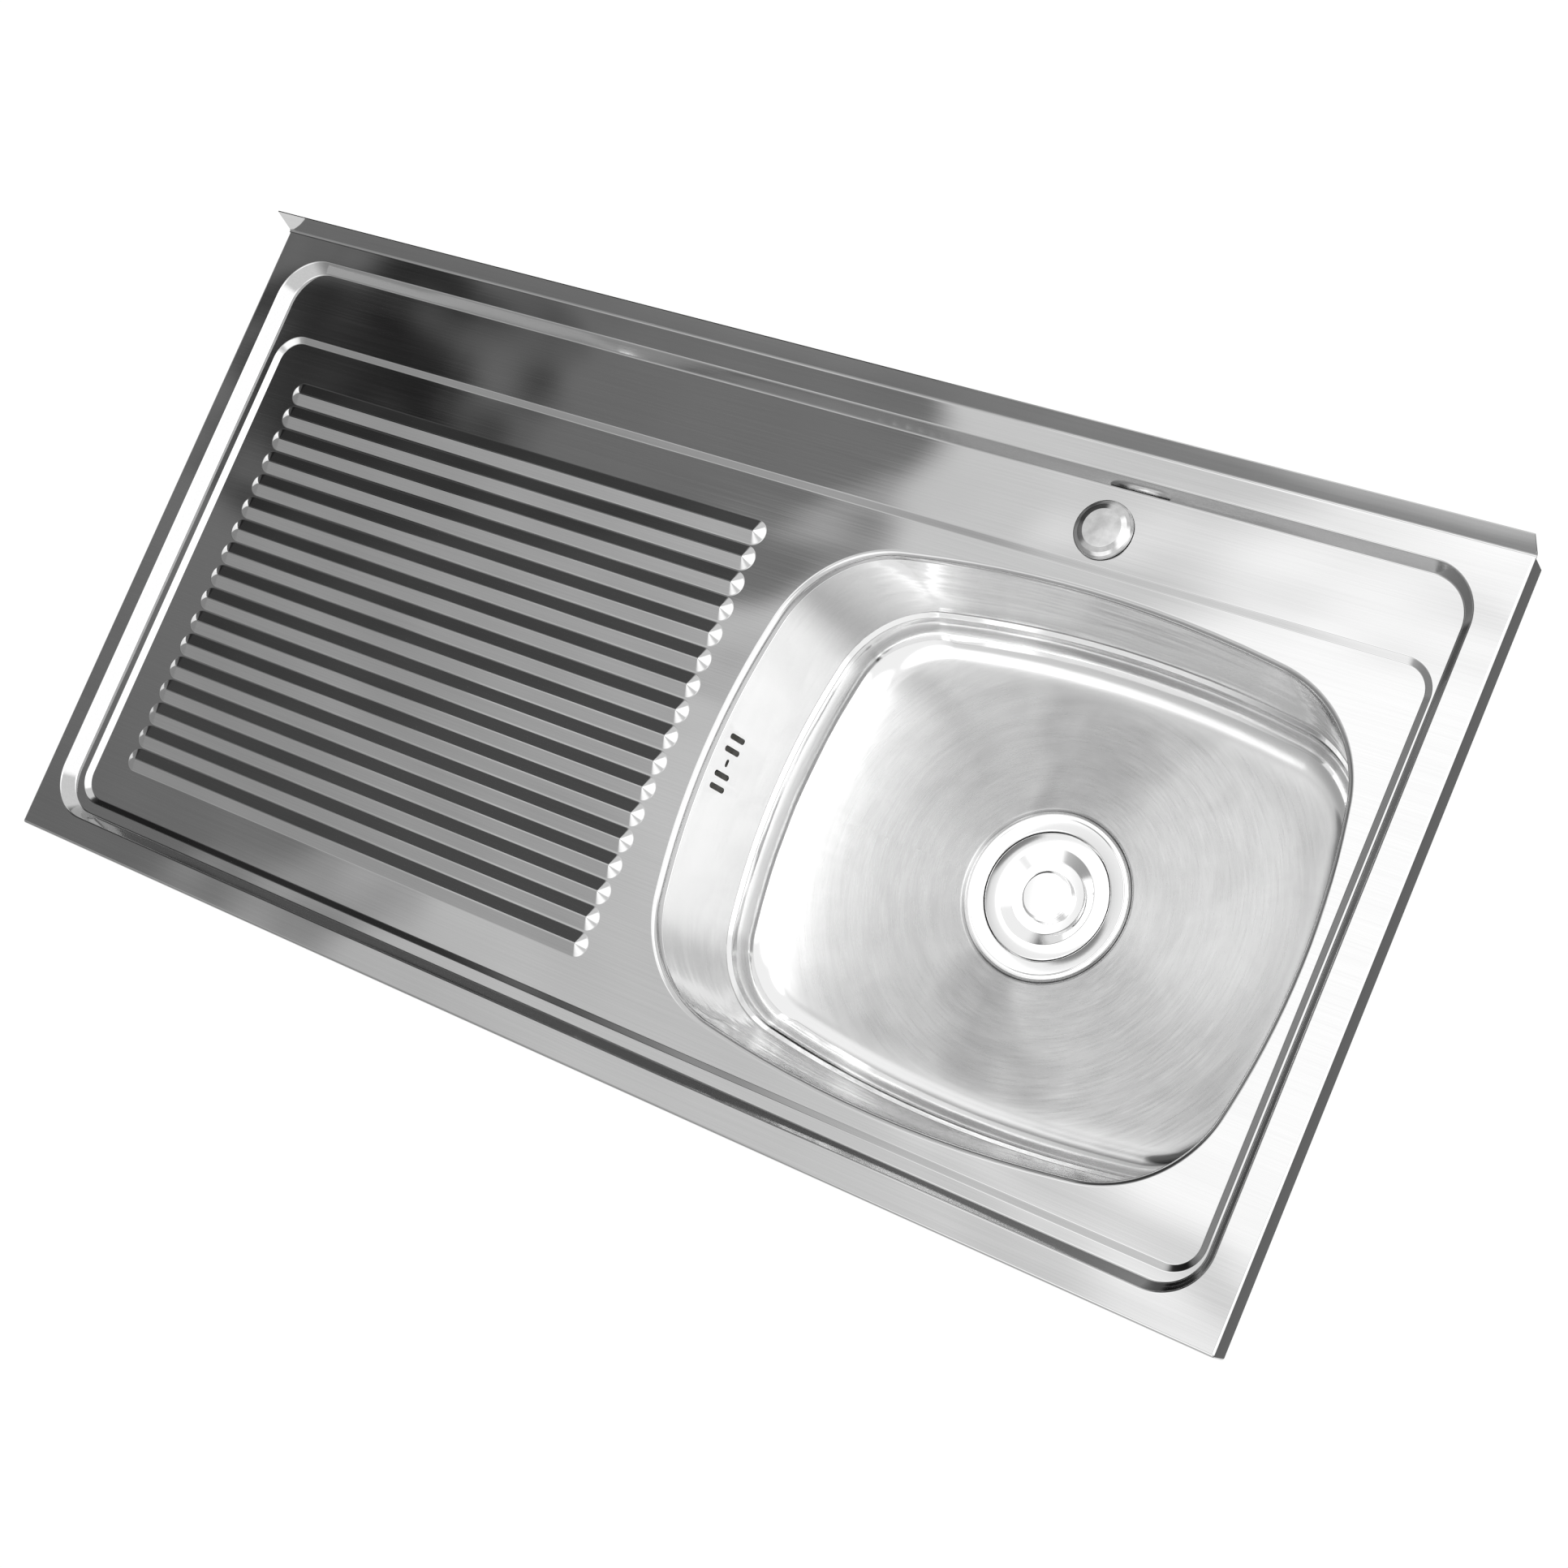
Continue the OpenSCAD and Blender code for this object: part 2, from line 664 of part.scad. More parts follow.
module waste_body() {
    boss_z = -cup_drop - press_t;
    color(white_plastic) at_waste() difference() {
        union() {
            rotate_extrude() polygon([
                [body_in_r, body_top_z],
                [flange_r, body_top_z],
                [flange_r, body_top_z - body_flange_h],
                [body_out_r, body_top_z - body_flange_h],
                [body_out_r, body_floor_z],
                [outlet_r, outlet_top_z],
                [outlet_r, outlet_end_z],
                [outlet_in_r, outlet_end_z],
                [outlet_in_r, outlet_top_z + body_wall],
                [body_in_r, body_floor_z + body_wall]
            ]);
            translate([0, 0, boss_z - boss_l]) cylinder(h = boss_l, r = boss_r);
            for (a = [45:90:315]) rotate(a)
                translate([0, -body_wall / 2, body_floor_z + body_wall + 1])
                    cube([body_in_r + 1, body_wall, boss_z - 5 - body_floor_z - body_wall]);
            translate([-body_in_r - 1, 0, -inlet_drop]) rotate([0, -90, 0])
                cylinder(h = body_wall + spigot_l - 1, r = spigot_r);
        }
        translate([-body_in_r + cut * 3, 0, -inlet_drop]) rotate([0, -90, 0])
            cylinder(h = body_wall + spigot_l + cut * 5, r = spigot_in_r);
        translate([0, 0, boss_z - boss_l - cut]) cylinder(h = boss_l + 2 * cut, r = insert_r + screw_gap);
    }
}

module screw_insert() {
    color("gold") at_waste() ring(screw_r + screw_gap, insert_r,
        -cup_drop - press_t - boss_l, -cup_drop - press_t - seat_gap);
}

module waste_screw() {
    drive_r = 2;
    color(steel) at_waste() difference() {
        union() {
            translate([0, 0, -cup_drop]) cylinder(h = screw_head_h, r = screw_head_r);
            translate([0, 0, -cup_drop - boss_l]) cylinder(h = boss_l + cut, r = screw_r);
        }
        translate([0, 0, -cup_drop + cut]) cylinder(h = screw_head_h, r = drive_r, $fn = 6);
    }
}

module basket() {
    basket_slot_w = 2.5;
    basket_slot_l = 10;
    basket_hole_r = 2;
    color(bright_steel) at_waste() difference() {
        rotate_extrude() polygon(sheet([
            [basket_rim_r, basket_rim_z],
            [basket_wall_r, basket_rim_z],
            [basket_wall_r - basket_taper, basket_shoulder_z],
            [basket_neck_r, basket_neck_z],
            [basket_neck_r, basket_floor_z],
            [post_r + screw_gap, basket_floor_z]
        ], press_t));
        for (a = [0:22.5:157.5])
            rotate(a) translate([-basket_rim_r, -basket_slot_w / 2, basket_shoulder_z + 3])
                cube([2 * basket_rim_r, basket_slot_w, basket_slot_l]);
        drain_holes(basket_neck_r + 4, basket_hole_r, basket_floor_z);
    }
}

module basket_post() {
    rivet_z = basket_floor_z - press_t;
    color(bright_steel) at_waste() rotate_extrude() polygon([
        [0, rivet_z - 1],
        [post_rivet_r - 0.4, rivet_z - 1],
        [post_rivet_r, rivet_z],
        [post_r, rivet_z],
        [post_r, basket_floor_z],
        [post_foot_r, basket_floor_z],
        [post_foot_r - 1, basket_floor_z + 1.5],
        [post_r, basket_floor_z + 2.5],
        [post_r, post_knob_z],
        [post_knob_r - 1, post_knob_z + 1.5],
        [post_knob_r, post_knob_z + 3],
        [post_knob_r, post_top_z - 2],
        [post_knob_r - 1.5, post_top_z - 0.5],
        [0, post_top_z]
    ]);
}

module basket_seal() {
    inner_r = basket_neck_r + press_t + screw_gap;
    color(black_rubber) at_waste() rotate_extrude() polygon([
        [inner_r, basket_floor_z],
        [seal_r - seal_edge, basket_floor_z],
        [seal_r, basket_floor_z + seal_edge],
        [seal_r, basket_floor_z + seal_h - seal_edge],
        [seal_r - seal_edge, basket_floor_z + seal_h],
        [inner_r, basket_floor_z + seal_h]
    ]);
}

module lid() {
    color(bright_steel) at_waste() rotate_extrude() polygon(sheet([
        [lid_r, basket_rim_z + lid_gap],
        [lid_r, lid_top_z - lid_edge],
        [lid_r - lid_edge, lid_top_z],
        [lid_dish_r, lid_top_z],
        [lid_floor_r, lid_floor_z],
        [lid_screw_r + screw_gap, lid_floor_z]
    ], press_t));
}

module lid_knob() {
    color(bright_steel) at_waste() difference() {
        rotate_extrude() polygon([
            [0, lid_floor_z],
            [knob_neck_r, lid_floor_z],
            [knob_neck_r - knob_edge, knob_lip_z - 1.6],
            [knob_r - knob_edge, knob_lip_z],
            [knob_r, knob_lip_z + 0.5],
            [knob_r, knob_top_z - knob_edge],
            [knob_r - knob_edge, knob_top_z - 0.2],
            [knob_r - 2 * knob_edge, knob_top_z],
            [0, knob_top_z]
        ]);
        translate([0, 0, lid_floor_z - cut]) cylinder(h = lid_screw_l + cut, r = lid_screw_r + screw_gap);
    }
}

module lid_screw() {
    under_z = lid_floor_z - press_t;
    head_h = 2;
    color(steel) at_waste() {
        translate([0, 0, under_z - head_h]) cylinder(h = head_h, r = 2 * lid_screw_r);
        translate([0, 0, under_z - 0.5]) cylinder(h = press_t + lid_screw_l, r = lid_screw_r);
    }
}

// A strip that follows the outside of the bowl's left wall, between two offsets from its face
module wall_strip(z0, z1, near, far, half_turn) {
    face0 = wall_outside(z0) + near;
    face1 = wall_outside(z1) + near;
    translate([bowl_x, bowl_y, 0])
        bend([-side_x, 0, 0], short_bow_r, 180 - half_turn, 2 * half_turn, [
            [face0, z0],
            [far == undef ? box_face_u : face0 + far - near, z0],
            [far == undef ? box_face_u : face1 + far - near, z1],
            [face1, z1]
        ], $fn = 144);
}

module overflow_window() {
    translate([box_front_x - box_wall, bowl_y - box_w / 2 + foam_rim, foam_bottom_z + foam_rim])
        cube([20, box_w - 2 * foam_rim, foam_top_z - foam_bottom_z - 2 * foam_rim]);
}

module overflow_gasket() {
    color(black_rubber) in_row_frame() difference() {
        wall_strip(foam_bottom_z, foam_top_z, seat_gap, foam_t, foam_half_turn);
        overflow_window();
    }
}

module overflow_box() {
    color(white_plastic) in_row_frame() difference() {
        union() {
            wall_strip(foam_bottom_z, foam_top_z, foam_t + seat_gap, undef, foam_half_turn);
            translate([box_back_x, bowl_y - box_w / 2, box_bottom_z])
                cube([box_d, box_w, box_top_z - box_bottom_z]);
            translate([box_spigot_x, bowl_y, box_spigot_z])
                cylinder(h = spigot_l + 1, r = spigot_r);
        }
        translate([box_back_x + box_wall, bowl_y - box_w / 2 + box_wall, box_bottom_z + box_wall])
            cube([box_d - box_wall - 2, box_w - 2 * box_wall, box_top_z - box_bottom_z - 2 * box_wall]);
        overflow_window();
        translate([box_spigot_x, bowl_y, box_spigot_z - cut])
            cylinder(h = spigot_l + box_wall + 2 * cut, r = spigot_in_r);
    }
}

// The hose's route: down from the box, a quarter turn under the bowl, along to the waste body
function route_point(s) =
    s < hose_lead ? [box_spigot_x, hose_top_z - s]
    : s < hose_lead + hose_arc_l ?
        let (a = 180 + (s - hose_lead) / hose_arc_l * 90)
        [box_spigot_x + hose_bend_r, hose_top_z - hose_lead] + hose_bend_r * [cos(a), sin(a)]
    : [box_spigot_x + hose_bend_r + s - hose_lead - hose_arc_l, inlet_z];
function route_turn(s) = max(0, min(90, (s - hose_lead) / hose_arc_l * 90));
function hose_ring(s, r) =
    let (p = route_point(s), a = route_turn(s))
    [for (k = [0:hose_sides - 1])
        let (q = (k + 0.5) * 360 / hose_sides, out = r * cos(q))
        [p[0] + out * cos(a), bowl_y + r * sin(q), p[1] + out * sin(a)]];

// Rings along the outside, collar first and last, then along the bore and back
collar_r = spigot_r - 0.2;
rib_rings = 2 * floor((hose_l - 2 * (collar_t + 2)) / hose_pitch);
hose_outside = concat(
    [[0, collar_r], [collar_t, collar_r], [collar_t + 0.2, hose_d / 2 - hose_valley]],
    [for (i = [0:rib_rings]) [
        collar_t + 2 + i * (hose_l - 2 * (collar_t + 2)) / rib_rings,
        hose_d / 2 - (i % 2 == 0 ? hose_valley : 0)
    ]],
    [[hose_l - collar_t - 0.2, hose_d / 2 - hose_valley], [hose_l - collar_t, collar_r],
        [hose_l, collar_r]]);
bore_steps = 16;
hose_inside = concat(
    [[hose_l, hose_bore_d / 2]],
    [for (i = [bore_steps:-1:0]) [hose_lead + hose_arc_l * i / bore_steps, hose_bore_d / 2]],
    [[0, hose_bore_d / 2]]);

module overflow_hose() {
    rings = concat(hose_outside, hose_inside);
    n = hose_sides;
    last = len(rings);
    points = [for (q = rings) each hose_ring(q[0], q[1])];
    faces = [for (i = [0:last - 1], k = [0:n - 1], half = [0, 1])
        let (
            a = i * n + k,
            b = i * n + (k + 1) % n,
            c = ((i + 1) % last) * n + (k + 1) % n,
            d = ((i + 1) % last) * n + k)
        half == 0 ? [a, b, c] : [a, c, d]];
    color(grey_plastic) in_row_frame() polyhedron(points, faces);
}

// A union nut along +Z: its thread runs back over the spigot and its lip holds the hose's collar
module union_nut() {
    grip_length = nut_thread_l + washer_t + collar_t + nut_lip;
    difference() {
        translate([0, 0, -nut_thread_l]) cylinder(h = grip_length, r = nut_r, $fn = 12);
        translate([0, 0, -nut_thread_l - cut])
            cylinder(h = nut_thread_l + washer_t + collar_t + 0.2 + cut, r = spigot_r + seat_gap);
        cylinder(h = grip_length, r = nut_lip_r);
    }
}

module at_box_spigot() {
    in_row_frame() translate([box_spigot_x, bowl_y, box_spigot_z]) rotate([180, 0, 0]) children();
}

module at_inlet() {
    in_row_frame() translate([inlet_end_x, bowl_y, inlet_z]) rotate([0, -90, 0]) children();
}

module box_nut() {
    color(white_plastic) at_box_spigot() union_nut();
}

module waste_nut() {
    color(white_plastic) at_inlet() union_nut();
}

module hose_washers() {
    color(black_rubber) {
        at_box_spigot() ring(spigot_in_r, spigot_r - 0.4, 0, washer_t);
        at_inlet() ring(spigot_in_r, spigot_r - 0.4, 0, washer_t);
    }
}

module tap_cover() {
    edge_z = cover_seal_t;
    top_z = edge_z + cover_h;
    under_z = top_z - cover_wall;
    color(bright_steel) at_tap_hole() difference() {
        rotate_extrude() polygon([
            [0, top_z],
            [cover_flat_r, top_z],
            [cover_r - cover_bevel_w / 2, top_z - 0.8],
            [cover_r - 1.2, top_z - 2],
            [cover_r, edge_z + 1],
            [cover_r, edge_z],
            [cover_r - cover_rim_w, edge_z],
            [cover_flat_r + 1, under_z],
            [cover_boss_r, under_z],
            [cover_boss_r, edge_z],
            [0, edge_z]
        ]);
        translate([0, 0, edge_z - cut]) cylinder(h = cover_h - cover_wall + cut, r = stud_r + screw_gap);
    }
}

module cover_seal() {
    color(black_rubber) at_tap_hole() ring(tap_hole_d / 2 + 0.2, cover_r - 0.5, 0, cover_seal_t);
}

module cover_stud() {
    top_z = cover_seal_t + cover_h - cover_wall - seat_gap;
    color(steel) at_tap_hole() translate([0, 0, top_z - stud_l]) cylinder(h = stud_l, r = stud_r);
}

module cover_clamp() {
    color(steel) at_tap_hole() ring(stud_r + 0.3, clamp_r, -sheet_t - clamp_t, -sheet_t);
}

module cover_wing_nut() {
    top_z = -sheet_t - clamp_t;
    color(steel) at_tap_hole() translate([0, 0, top_z]) difference() {
        union() {
            translate([0, 0, -wing_hub_h]) cylinder(h = wing_hub_h, r = wing_hub_r);
            for (side = [0, 180]) rotate(side) translate([0, wing_t / 2, 0]) rotate([90, 0, 0])
                linear_extrude(wing_t) union() {
                    polygon([
                        [2, -1],
                        [wing_hub_r, -1],
                        wing_eye + [4, 2.5],
                        wing_eye - [4, 2.5],
                        [2, 1 - wing_hub_h]
                    ]);
                    translate(wing_eye) circle(wing_eye_r);
                }
        }
        translate([0, 0, -wing_hub_h - cut]) cylinder(h = wing_hub_h + 2 * cut, r = stud_r + screw_gap);
    }
}

deck();
bowl();
tap_cover();
cover_seal();
cover_stud();
cover_clamp();
cover_wing_nut();
flange_gasket();
strainer_cup();
lower_gasket();
waste_body();
waste_screw();
screw_insert();
basket();
basket_post();
basket_seal();
lid();
lid_knob();
lid_screw();
overflow_gasket();
overflow_box();
overflow_hose();
box_nut();
waste_nut();
hose_washers();
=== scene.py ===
from math import atan2, cos, pi, radians, sin, tan

import bmesh
import bpy
from mathutils import Euler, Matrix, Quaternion, Vector


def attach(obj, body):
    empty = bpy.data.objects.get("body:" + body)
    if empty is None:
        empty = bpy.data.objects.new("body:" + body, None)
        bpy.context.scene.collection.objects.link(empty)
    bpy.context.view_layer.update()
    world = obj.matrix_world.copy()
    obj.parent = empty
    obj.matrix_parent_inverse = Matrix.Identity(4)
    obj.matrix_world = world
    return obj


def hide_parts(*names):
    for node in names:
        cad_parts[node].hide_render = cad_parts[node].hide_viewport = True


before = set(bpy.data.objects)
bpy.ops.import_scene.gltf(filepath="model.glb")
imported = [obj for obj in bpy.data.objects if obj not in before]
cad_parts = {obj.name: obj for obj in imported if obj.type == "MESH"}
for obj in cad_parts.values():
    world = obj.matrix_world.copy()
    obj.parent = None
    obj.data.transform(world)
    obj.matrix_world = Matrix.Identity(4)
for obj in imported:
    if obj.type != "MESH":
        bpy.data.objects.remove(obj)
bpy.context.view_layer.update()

# The camera. It stands off the sink's right-hand end, 1.4 m above the deck, and looks down along
# the deck through a long lens. The shift puts the lens's axis where the photograph has it.
FRAME_PX = 1932
FOCAL_PX = 3140
AXIS_PX = (938, 1011)
SENSOR_MM = 36
CAMERA_PLACE = Vector((0.9084, 0.0489, 1.4360))
CAMERA_TARGET = Vector((0.0924, 0.1873, 0.0008))
CAMERA_ROLL = radians(-58.52)

bpy.ops.object.camera_add(location=CAMERA_PLACE)
camera = bpy.context.object
camera.rotation_mode = "QUATERNION"
level_view = (CAMERA_TARGET - CAMERA_PLACE).to_track_quat("-Z", "Y")
camera.rotation_quaternion = level_view @ Quaternion((0, 0, 1), CAMERA_ROLL)
camera.data.sensor_width = SENSOR_MM
camera.data.lens = SENSOR_MM * FOCAL_PX / FRAME_PX
camera.data.shift_x = (FRAME_PX / 2 - AXIS_PX[0]) / FRAME_PX
camera.data.shift_y = (AXIS_PX[1] - FRAME_PX / 2) / FRAME_PX
bpy.context.scene.camera = camera

# The deck. It is pressed from one 0.8 mm sheet of stainless steel: a flat border with skirts
# folded down on three sides and an upstand along the back, then two steps down to the drainer
# floor with its ribs, the tap hole, and the opening whose rim turns down to the bowl.

# Sizes are in millimetres from the deck's front left corner, with zero at the border's top.
# LIP is the flat edge of a pressed form, by which it joins the flat round it.
DECK_W = 1000
DECK_D = 500
SHEET = 0.8
SEAT_Y = 9.5
LIP = 0.25
SKIRT_H = 20
SKIRT_SPARE = 50
UPSTAND_H = 20
UPSTAND_LEAN = radians(15)
FOLD_R = 1.8
FOLD_W = FOLD_R + LIP
STEP_R = 1.5
OUTER_RECT = (15, 19, 979, 483)
OUTER_CORNER = 35
OUTER_W = 7.6
OUTER_DROP = 9.5
INNER_RECT = (29.6, 33.6, 970.4, 423.9)
INNER_CORNER = 22
INNER_W = 5
INNER_DROP = 2.5
SHELF_Z = -OUTER_DROP
WELL_Z = SHELF_Z - INNER_DROP
RIBS = 17
RIB_PITCH = 19
RIB_START_X = 60.6
RIB_L = 440.3
RIB_W = 17.5
RIB_H = 3
RIB_CREST_W = 1.0
RIB_CREST_R = 1.0
RIB_TOP_W = 0.3
RIB_LIP = 0.5
RIB_FOOT_R = 2.6
ROUND_END_GAP = 0.0004
BOWL_X = 740.9
BOWL_Y = 228.75
BOWL_CORNER_R = 88
BOWL_SIDE_R = 506.241
BOWL_BACK_R = 826.34
BOWL_CORNER_AT = (122.208, 82.82)
RIM_R = 4
SEAM_Z = -20
SEAM_LEAN = 0.35
SEAM_BEND = 0.4
TAP_AT = (733.9, 447)
TAP_HOLE_R = 17.5
OVAL_POINTS = 240
NEAR_MM = 0.01
LEVEL_MM = 0.002
JOIN_MM = 0.005


def everything(part):
    return True


def deselect():
    bpy.ops.object.select_all(action="DESELECT")


def only(piece):
    """Selects one piece alone and makes it the active one."""
    deselect()
    piece.select_set(True)
    bpy.context.view_layer.objects.active = piece


def edit(piece):
    """Opens one piece alone in edit mode."""
    only(piece)
    bpy.ops.object.mode_set(mode="EDIT")


def close_edit():
    bpy.ops.object.mode_set(mode="OBJECT")


def called(name):
    """Names the piece that was just added."""
    piece = bpy.context.object
    piece.name = piece.data.name = name
    return piece


def pick(kind, test=everything):
    """Selects, in edit mode, only the vertices, edges or faces that pass a test."""
    bpy.ops.mesh.select_mode(type=kind)
    bpy.ops.mesh.select_all(action="DESELECT")
    data = bpy.context.edit_object.data
    mesh = bmesh.from_edit_mesh(data)
    for part in {"VERT": mesh.verts, "EDGE": mesh.edges, "FACE": mesh.faces}[kind]:
        if test(part):
            part.select_set(True)
    mesh.select_flush_mode()
    bmesh.update_edit_mesh(data)


def merge(distance=0.001):
    """Makes one point, in edit mode, of points that lie within a distance of each other."""
    pick("VERT")
    bpy.ops.mesh.remove_doubles(threshold=distance)


def close_outwards():
    """Turns all faces outwards and leaves edit mode."""
    pick("FACE")
    bpy.ops.mesh.normals_make_consistent(inside=False)
    close_edit()


def plate(name, rect, height, corner=0, steps=12, which=everything):
    """A flat plate, left open in edit mode with its face selected. Some corners may be round."""
    x0, y0, x1, y1 = rect
    deselect()
    bpy.ops.mesh.primitive_plane_add(size=1)
    piece = called(name)
    bpy.ops.object.mode_set(mode="EDIT")
    bpy.ops.transform.resize(value=(x1 - x0, y1 - y0, 1))
    bpy.ops.transform.translate(value=((x0 + x1) / 2, (y0 + y1) / 2, height))
    if corner:
        pick("VERT", which)
        bpy.ops.mesh.bevel(offset=corner, segments=steps, affect="VERTICES")
        merge()
    pick("FACE")
    return piece


def rounded(corners, steps=3):
    """An outline through corners of (u, z, radius), each rounded with its own radius."""
    line = [Vector(corners[0][:2])]
    for before, corner, after in zip(corners, corners[1:], corners[2:]):
        tip, radius = Vector(corner[:2]), corner[2]
        back = (Vector(before[:2]) - tip).normalized()
        ahead = (Vector(after[:2]) - tip).normalized()
        if not radius:
            line.append(tip)
            continue
        half = back.angle(ahead) / 2
        centre = tip + (back + ahead).normalized() * radius / sin(half)
        first = tip + back * radius / tan(half) - centre
        last = tip + ahead * radius / tan(half) - centre
        turn = pi - 2 * half
        for i in range(steps + 1):
            part = turn * i / steps
            line.append(centre + (first * sin(turn - part) + last * sin(part)) / sin(turn))
    line.append(Vector(corners[-1][:2]))
    return line


def press(outline):
    """Presses the selected face inwards, ring by ring, along an outline of (u, z) points."""
    for here, there in zip(outline, outline[1:]):
        bpy.ops.mesh.inset(thickness=here[0] - there[0], depth=there[1] - here[1])


def open_middle():
    """Takes out the face in the middle of a pressed plate and closes the piece."""
    bpy.ops.mesh.delete(type="ONLY_FACE")
    merge()
    close_edit()


def step_outline(width, drop, top):
    """Flat, bend, slope, bend, flat: the section of one pressed step."""
    slope_l = (width ** 2 + (drop - 2 * STEP_R) ** 2 - 4 * STEP_R ** 2) ** 0.5
    slope = atan2(drop - 2 * STEP_R, width) + atan2(2 * STEP_R, slope_l)
    reach = STEP_R * tan(slope / 2)
    return rounded([
        (LIP, top, 0), (-reach, top, STEP_R),
        (reach - width, top - drop, STEP_R), (-width - LIP, top - drop, 0)])


def grown(rect, by):
    """A rectangle with its sides moved outwards."""
    return (rect[0] - by, rect[1] - by, rect[2] + by, rect[3] + by)


def oval_point(turn, grow):
    """The point of the bowl's outline whose outward direction is turn."""
    c, s = abs(cos(turn)), abs(sin(turn))
    x, y = BOWL_CORNER_AT
    r = BOWL_CORNER_R
    side = atan2(y, ((BOWL_SIDE_R - r) ** 2 - y ** 2) ** 0.5)
    back = atan2(x, ((BOWL_BACK_R - r) ** 2 - x ** 2) ** 0.5)
    angle = atan2(s, c)
    if angle < side:
        x, y, r = x - (BOWL_SIDE_R - r) * cos(side), 0, BOWL_SIDE_R
    elif angle > pi / 2 - back:
        x, y, r = 0, y - (BOWL_BACK_R - r) * cos(back), BOWL_BACK_R
    x, y = x + (r + grow) * c, y + (r + grow) * s
    return (x if cos(turn) > 0 else -x), (y if sin(turn) > 0 else -y)


def oval_plate(name, height, grow):
    """A flat plate with the bowl's outline, left open in edit mode with its face selected."""
    deselect()
    bpy.ops.mesh.primitive_circle_add(vertices=OVAL_POINTS, radius=1, fill_type="NGON")
    piece = called(name)
    for vertex in piece.data.vertices:
        x, y = oval_point(atan2(vertex.co.y, vertex.co.x), grow)
        vertex.co = (BOWL_X + x, BOWL_Y + y, height)
    edit(piece)
    pick("FACE")
    return piece


def join(first, *others):
    """Makes one piece of several."""
    only(first)
    for piece in others:
        piece.select_set(True)
    bpy.ops.object.join()
    return first


def fill_level(piece, height, test=everything):
    """Fills the flat between the open edges that lie at one height."""
    edit(piece)

    def open_edge(edge):
        level = all(abs(vertex.co.z - height) < LEVEL_MM for vertex in edge.verts)
        return level and len(edge.link_faces) < 2 and test(edge)

    pick("EDGE", open_edge)
    bpy.ops.mesh.fill()
    close_edit()


def face_up(piece):
    """Turns an open sheet so that its widest level face looks up."""
    flat = max(piece.data.polygons, key=lambda face: abs(face.normal.z) * face.area)
    if flat.normal.z < 0:
        edit(piece)
        pick("FACE")
        bpy.ops.mesh.flip_normals()
        close_edit()


def apply(piece, modifier):
    only(piece)
    bpy.ops.object.modifier_apply(modifier=modifier.name)


def thicken(piece, thickness):
    """Gives a sheet its thickness below its upper face."""
    modifier = piece.modifiers.new("sheet", "SOLIDIFY")
    modifier.thickness = thickness
    modifier.offset = -1
    modifier.use_even_offset = True
    apply(piece, modifier)


def settle(piece, smooth=40):
    """Moves a piece from the sheet's millimetres to the row's metres and shades it smooth."""
    only(piece)
    piece.scale = (0.001, 0.001, 0.001)
    piece.location = (-DECK_W / 2000, -SEAT_Y / 1000, SHEET / 1000)
    bpy.ops.object.transform_apply()
    bpy.ops.object.shade_smooth_by_angle(angle=radians(smooth))


# skirts at the front and the two ends, folded down from the border
deck = plate(
    "deck_sheet", (0, 0, DECK_W, DECK_D + SKIRT_SPARE), -SKIRT_H, FOLD_W, 6,
    lambda vertex: vertex.co.y < 1)
press(rounded([(0, -SKIRT_H, 0), (0, 0, FOLD_R), (-FOLD_W, 0, 0)], 4))
open_middle()
edit(deck)
pick("VERT")
bpy.ops.mesh.bisect(plane_co=(0, DECK_D - FOLD_W, 0), plane_no=(0, 1, 0), clear_outer=True)
close_edit()

# the upstand, folded up along the back and leaning away
fold = rounded([
    (DECK_D - FOLD_W, 0, 0), (DECK_D, 0, FOLD_R),
    (DECK_D + UPSTAND_H * tan(UPSTAND_LEAN), UPSTAND_H, 0)], 4)
upstand = plate("upstand", (0, fold[0][0], DECK_W, fold[1][0]), 0)
for cut_x in (FOLD_W, DECK_W - FOLD_W):
    pick("VERT")
    bpy.ops.mesh.bisect(plane_co=(cut_x, 0, 0), plane_no=(1, 0, 0))
pick("EDGE", lambda edge: all(vertex.co.y > fold[1][0] - NEAR_MM for vertex in edge.verts))
for here, there in zip(fold[1:], fold[2:]):
    bpy.ops.mesh.extrude_region_move(
        TRANSFORM_OT_translate={"value": (0, there[0] - here[0], there[1] - here[1])})
close_edit()

# the two pressed steps
outer_step = plate("outer_step", grown(OUTER_RECT, LIP), 0, OUTER_CORNER + LIP, 20)
press(step_outline(OUTER_W, OUTER_DROP, 0))
open_middle()
inner_step = plate("inner_step", grown(INNER_RECT, LIP), SHELF_Z, INNER_CORNER + LIP, 20)
press(step_outline(INNER_W, INNER_DROP, SHELF_Z))
open_middle()

# one rib: a low ridge with flat flanks, a narrow crest and half-cone ends
rib = plate(
    "rib", (RIB_START_X - RIB_LIP, -RIB_W / 2 - RIB_LIP,
            RIB_START_X + RIB_L + RIB_LIP, RIB_W / 2 + RIB_LIP),
    WELL_Z, RIB_W / 2 + RIB_LIP - ROUND_END_GAP, 16)
press(rounded([
    (RIB_LIP, 0, 0), (0, 0, RIB_FOOT_R), ((RIB_CREST_W - RIB_W) / 2, RIB_H, RIB_CREST_R),
    ((RIB_TOP_W - RIB_W) / 2, RIB_H, 0)], 3))
close_edit()
ribs = []
for k in range(RIBS):
    only(rib)
    bpy.ops.object.duplicate()
    twin = bpy.context.object
    twin.location.y = BOWL_Y + (k - (RIBS - 1) / 2) * RIB_PITCH
    bpy.ops.object.transform_apply()
    ribs.append(twin)
bpy.data.objects.remove(rib)

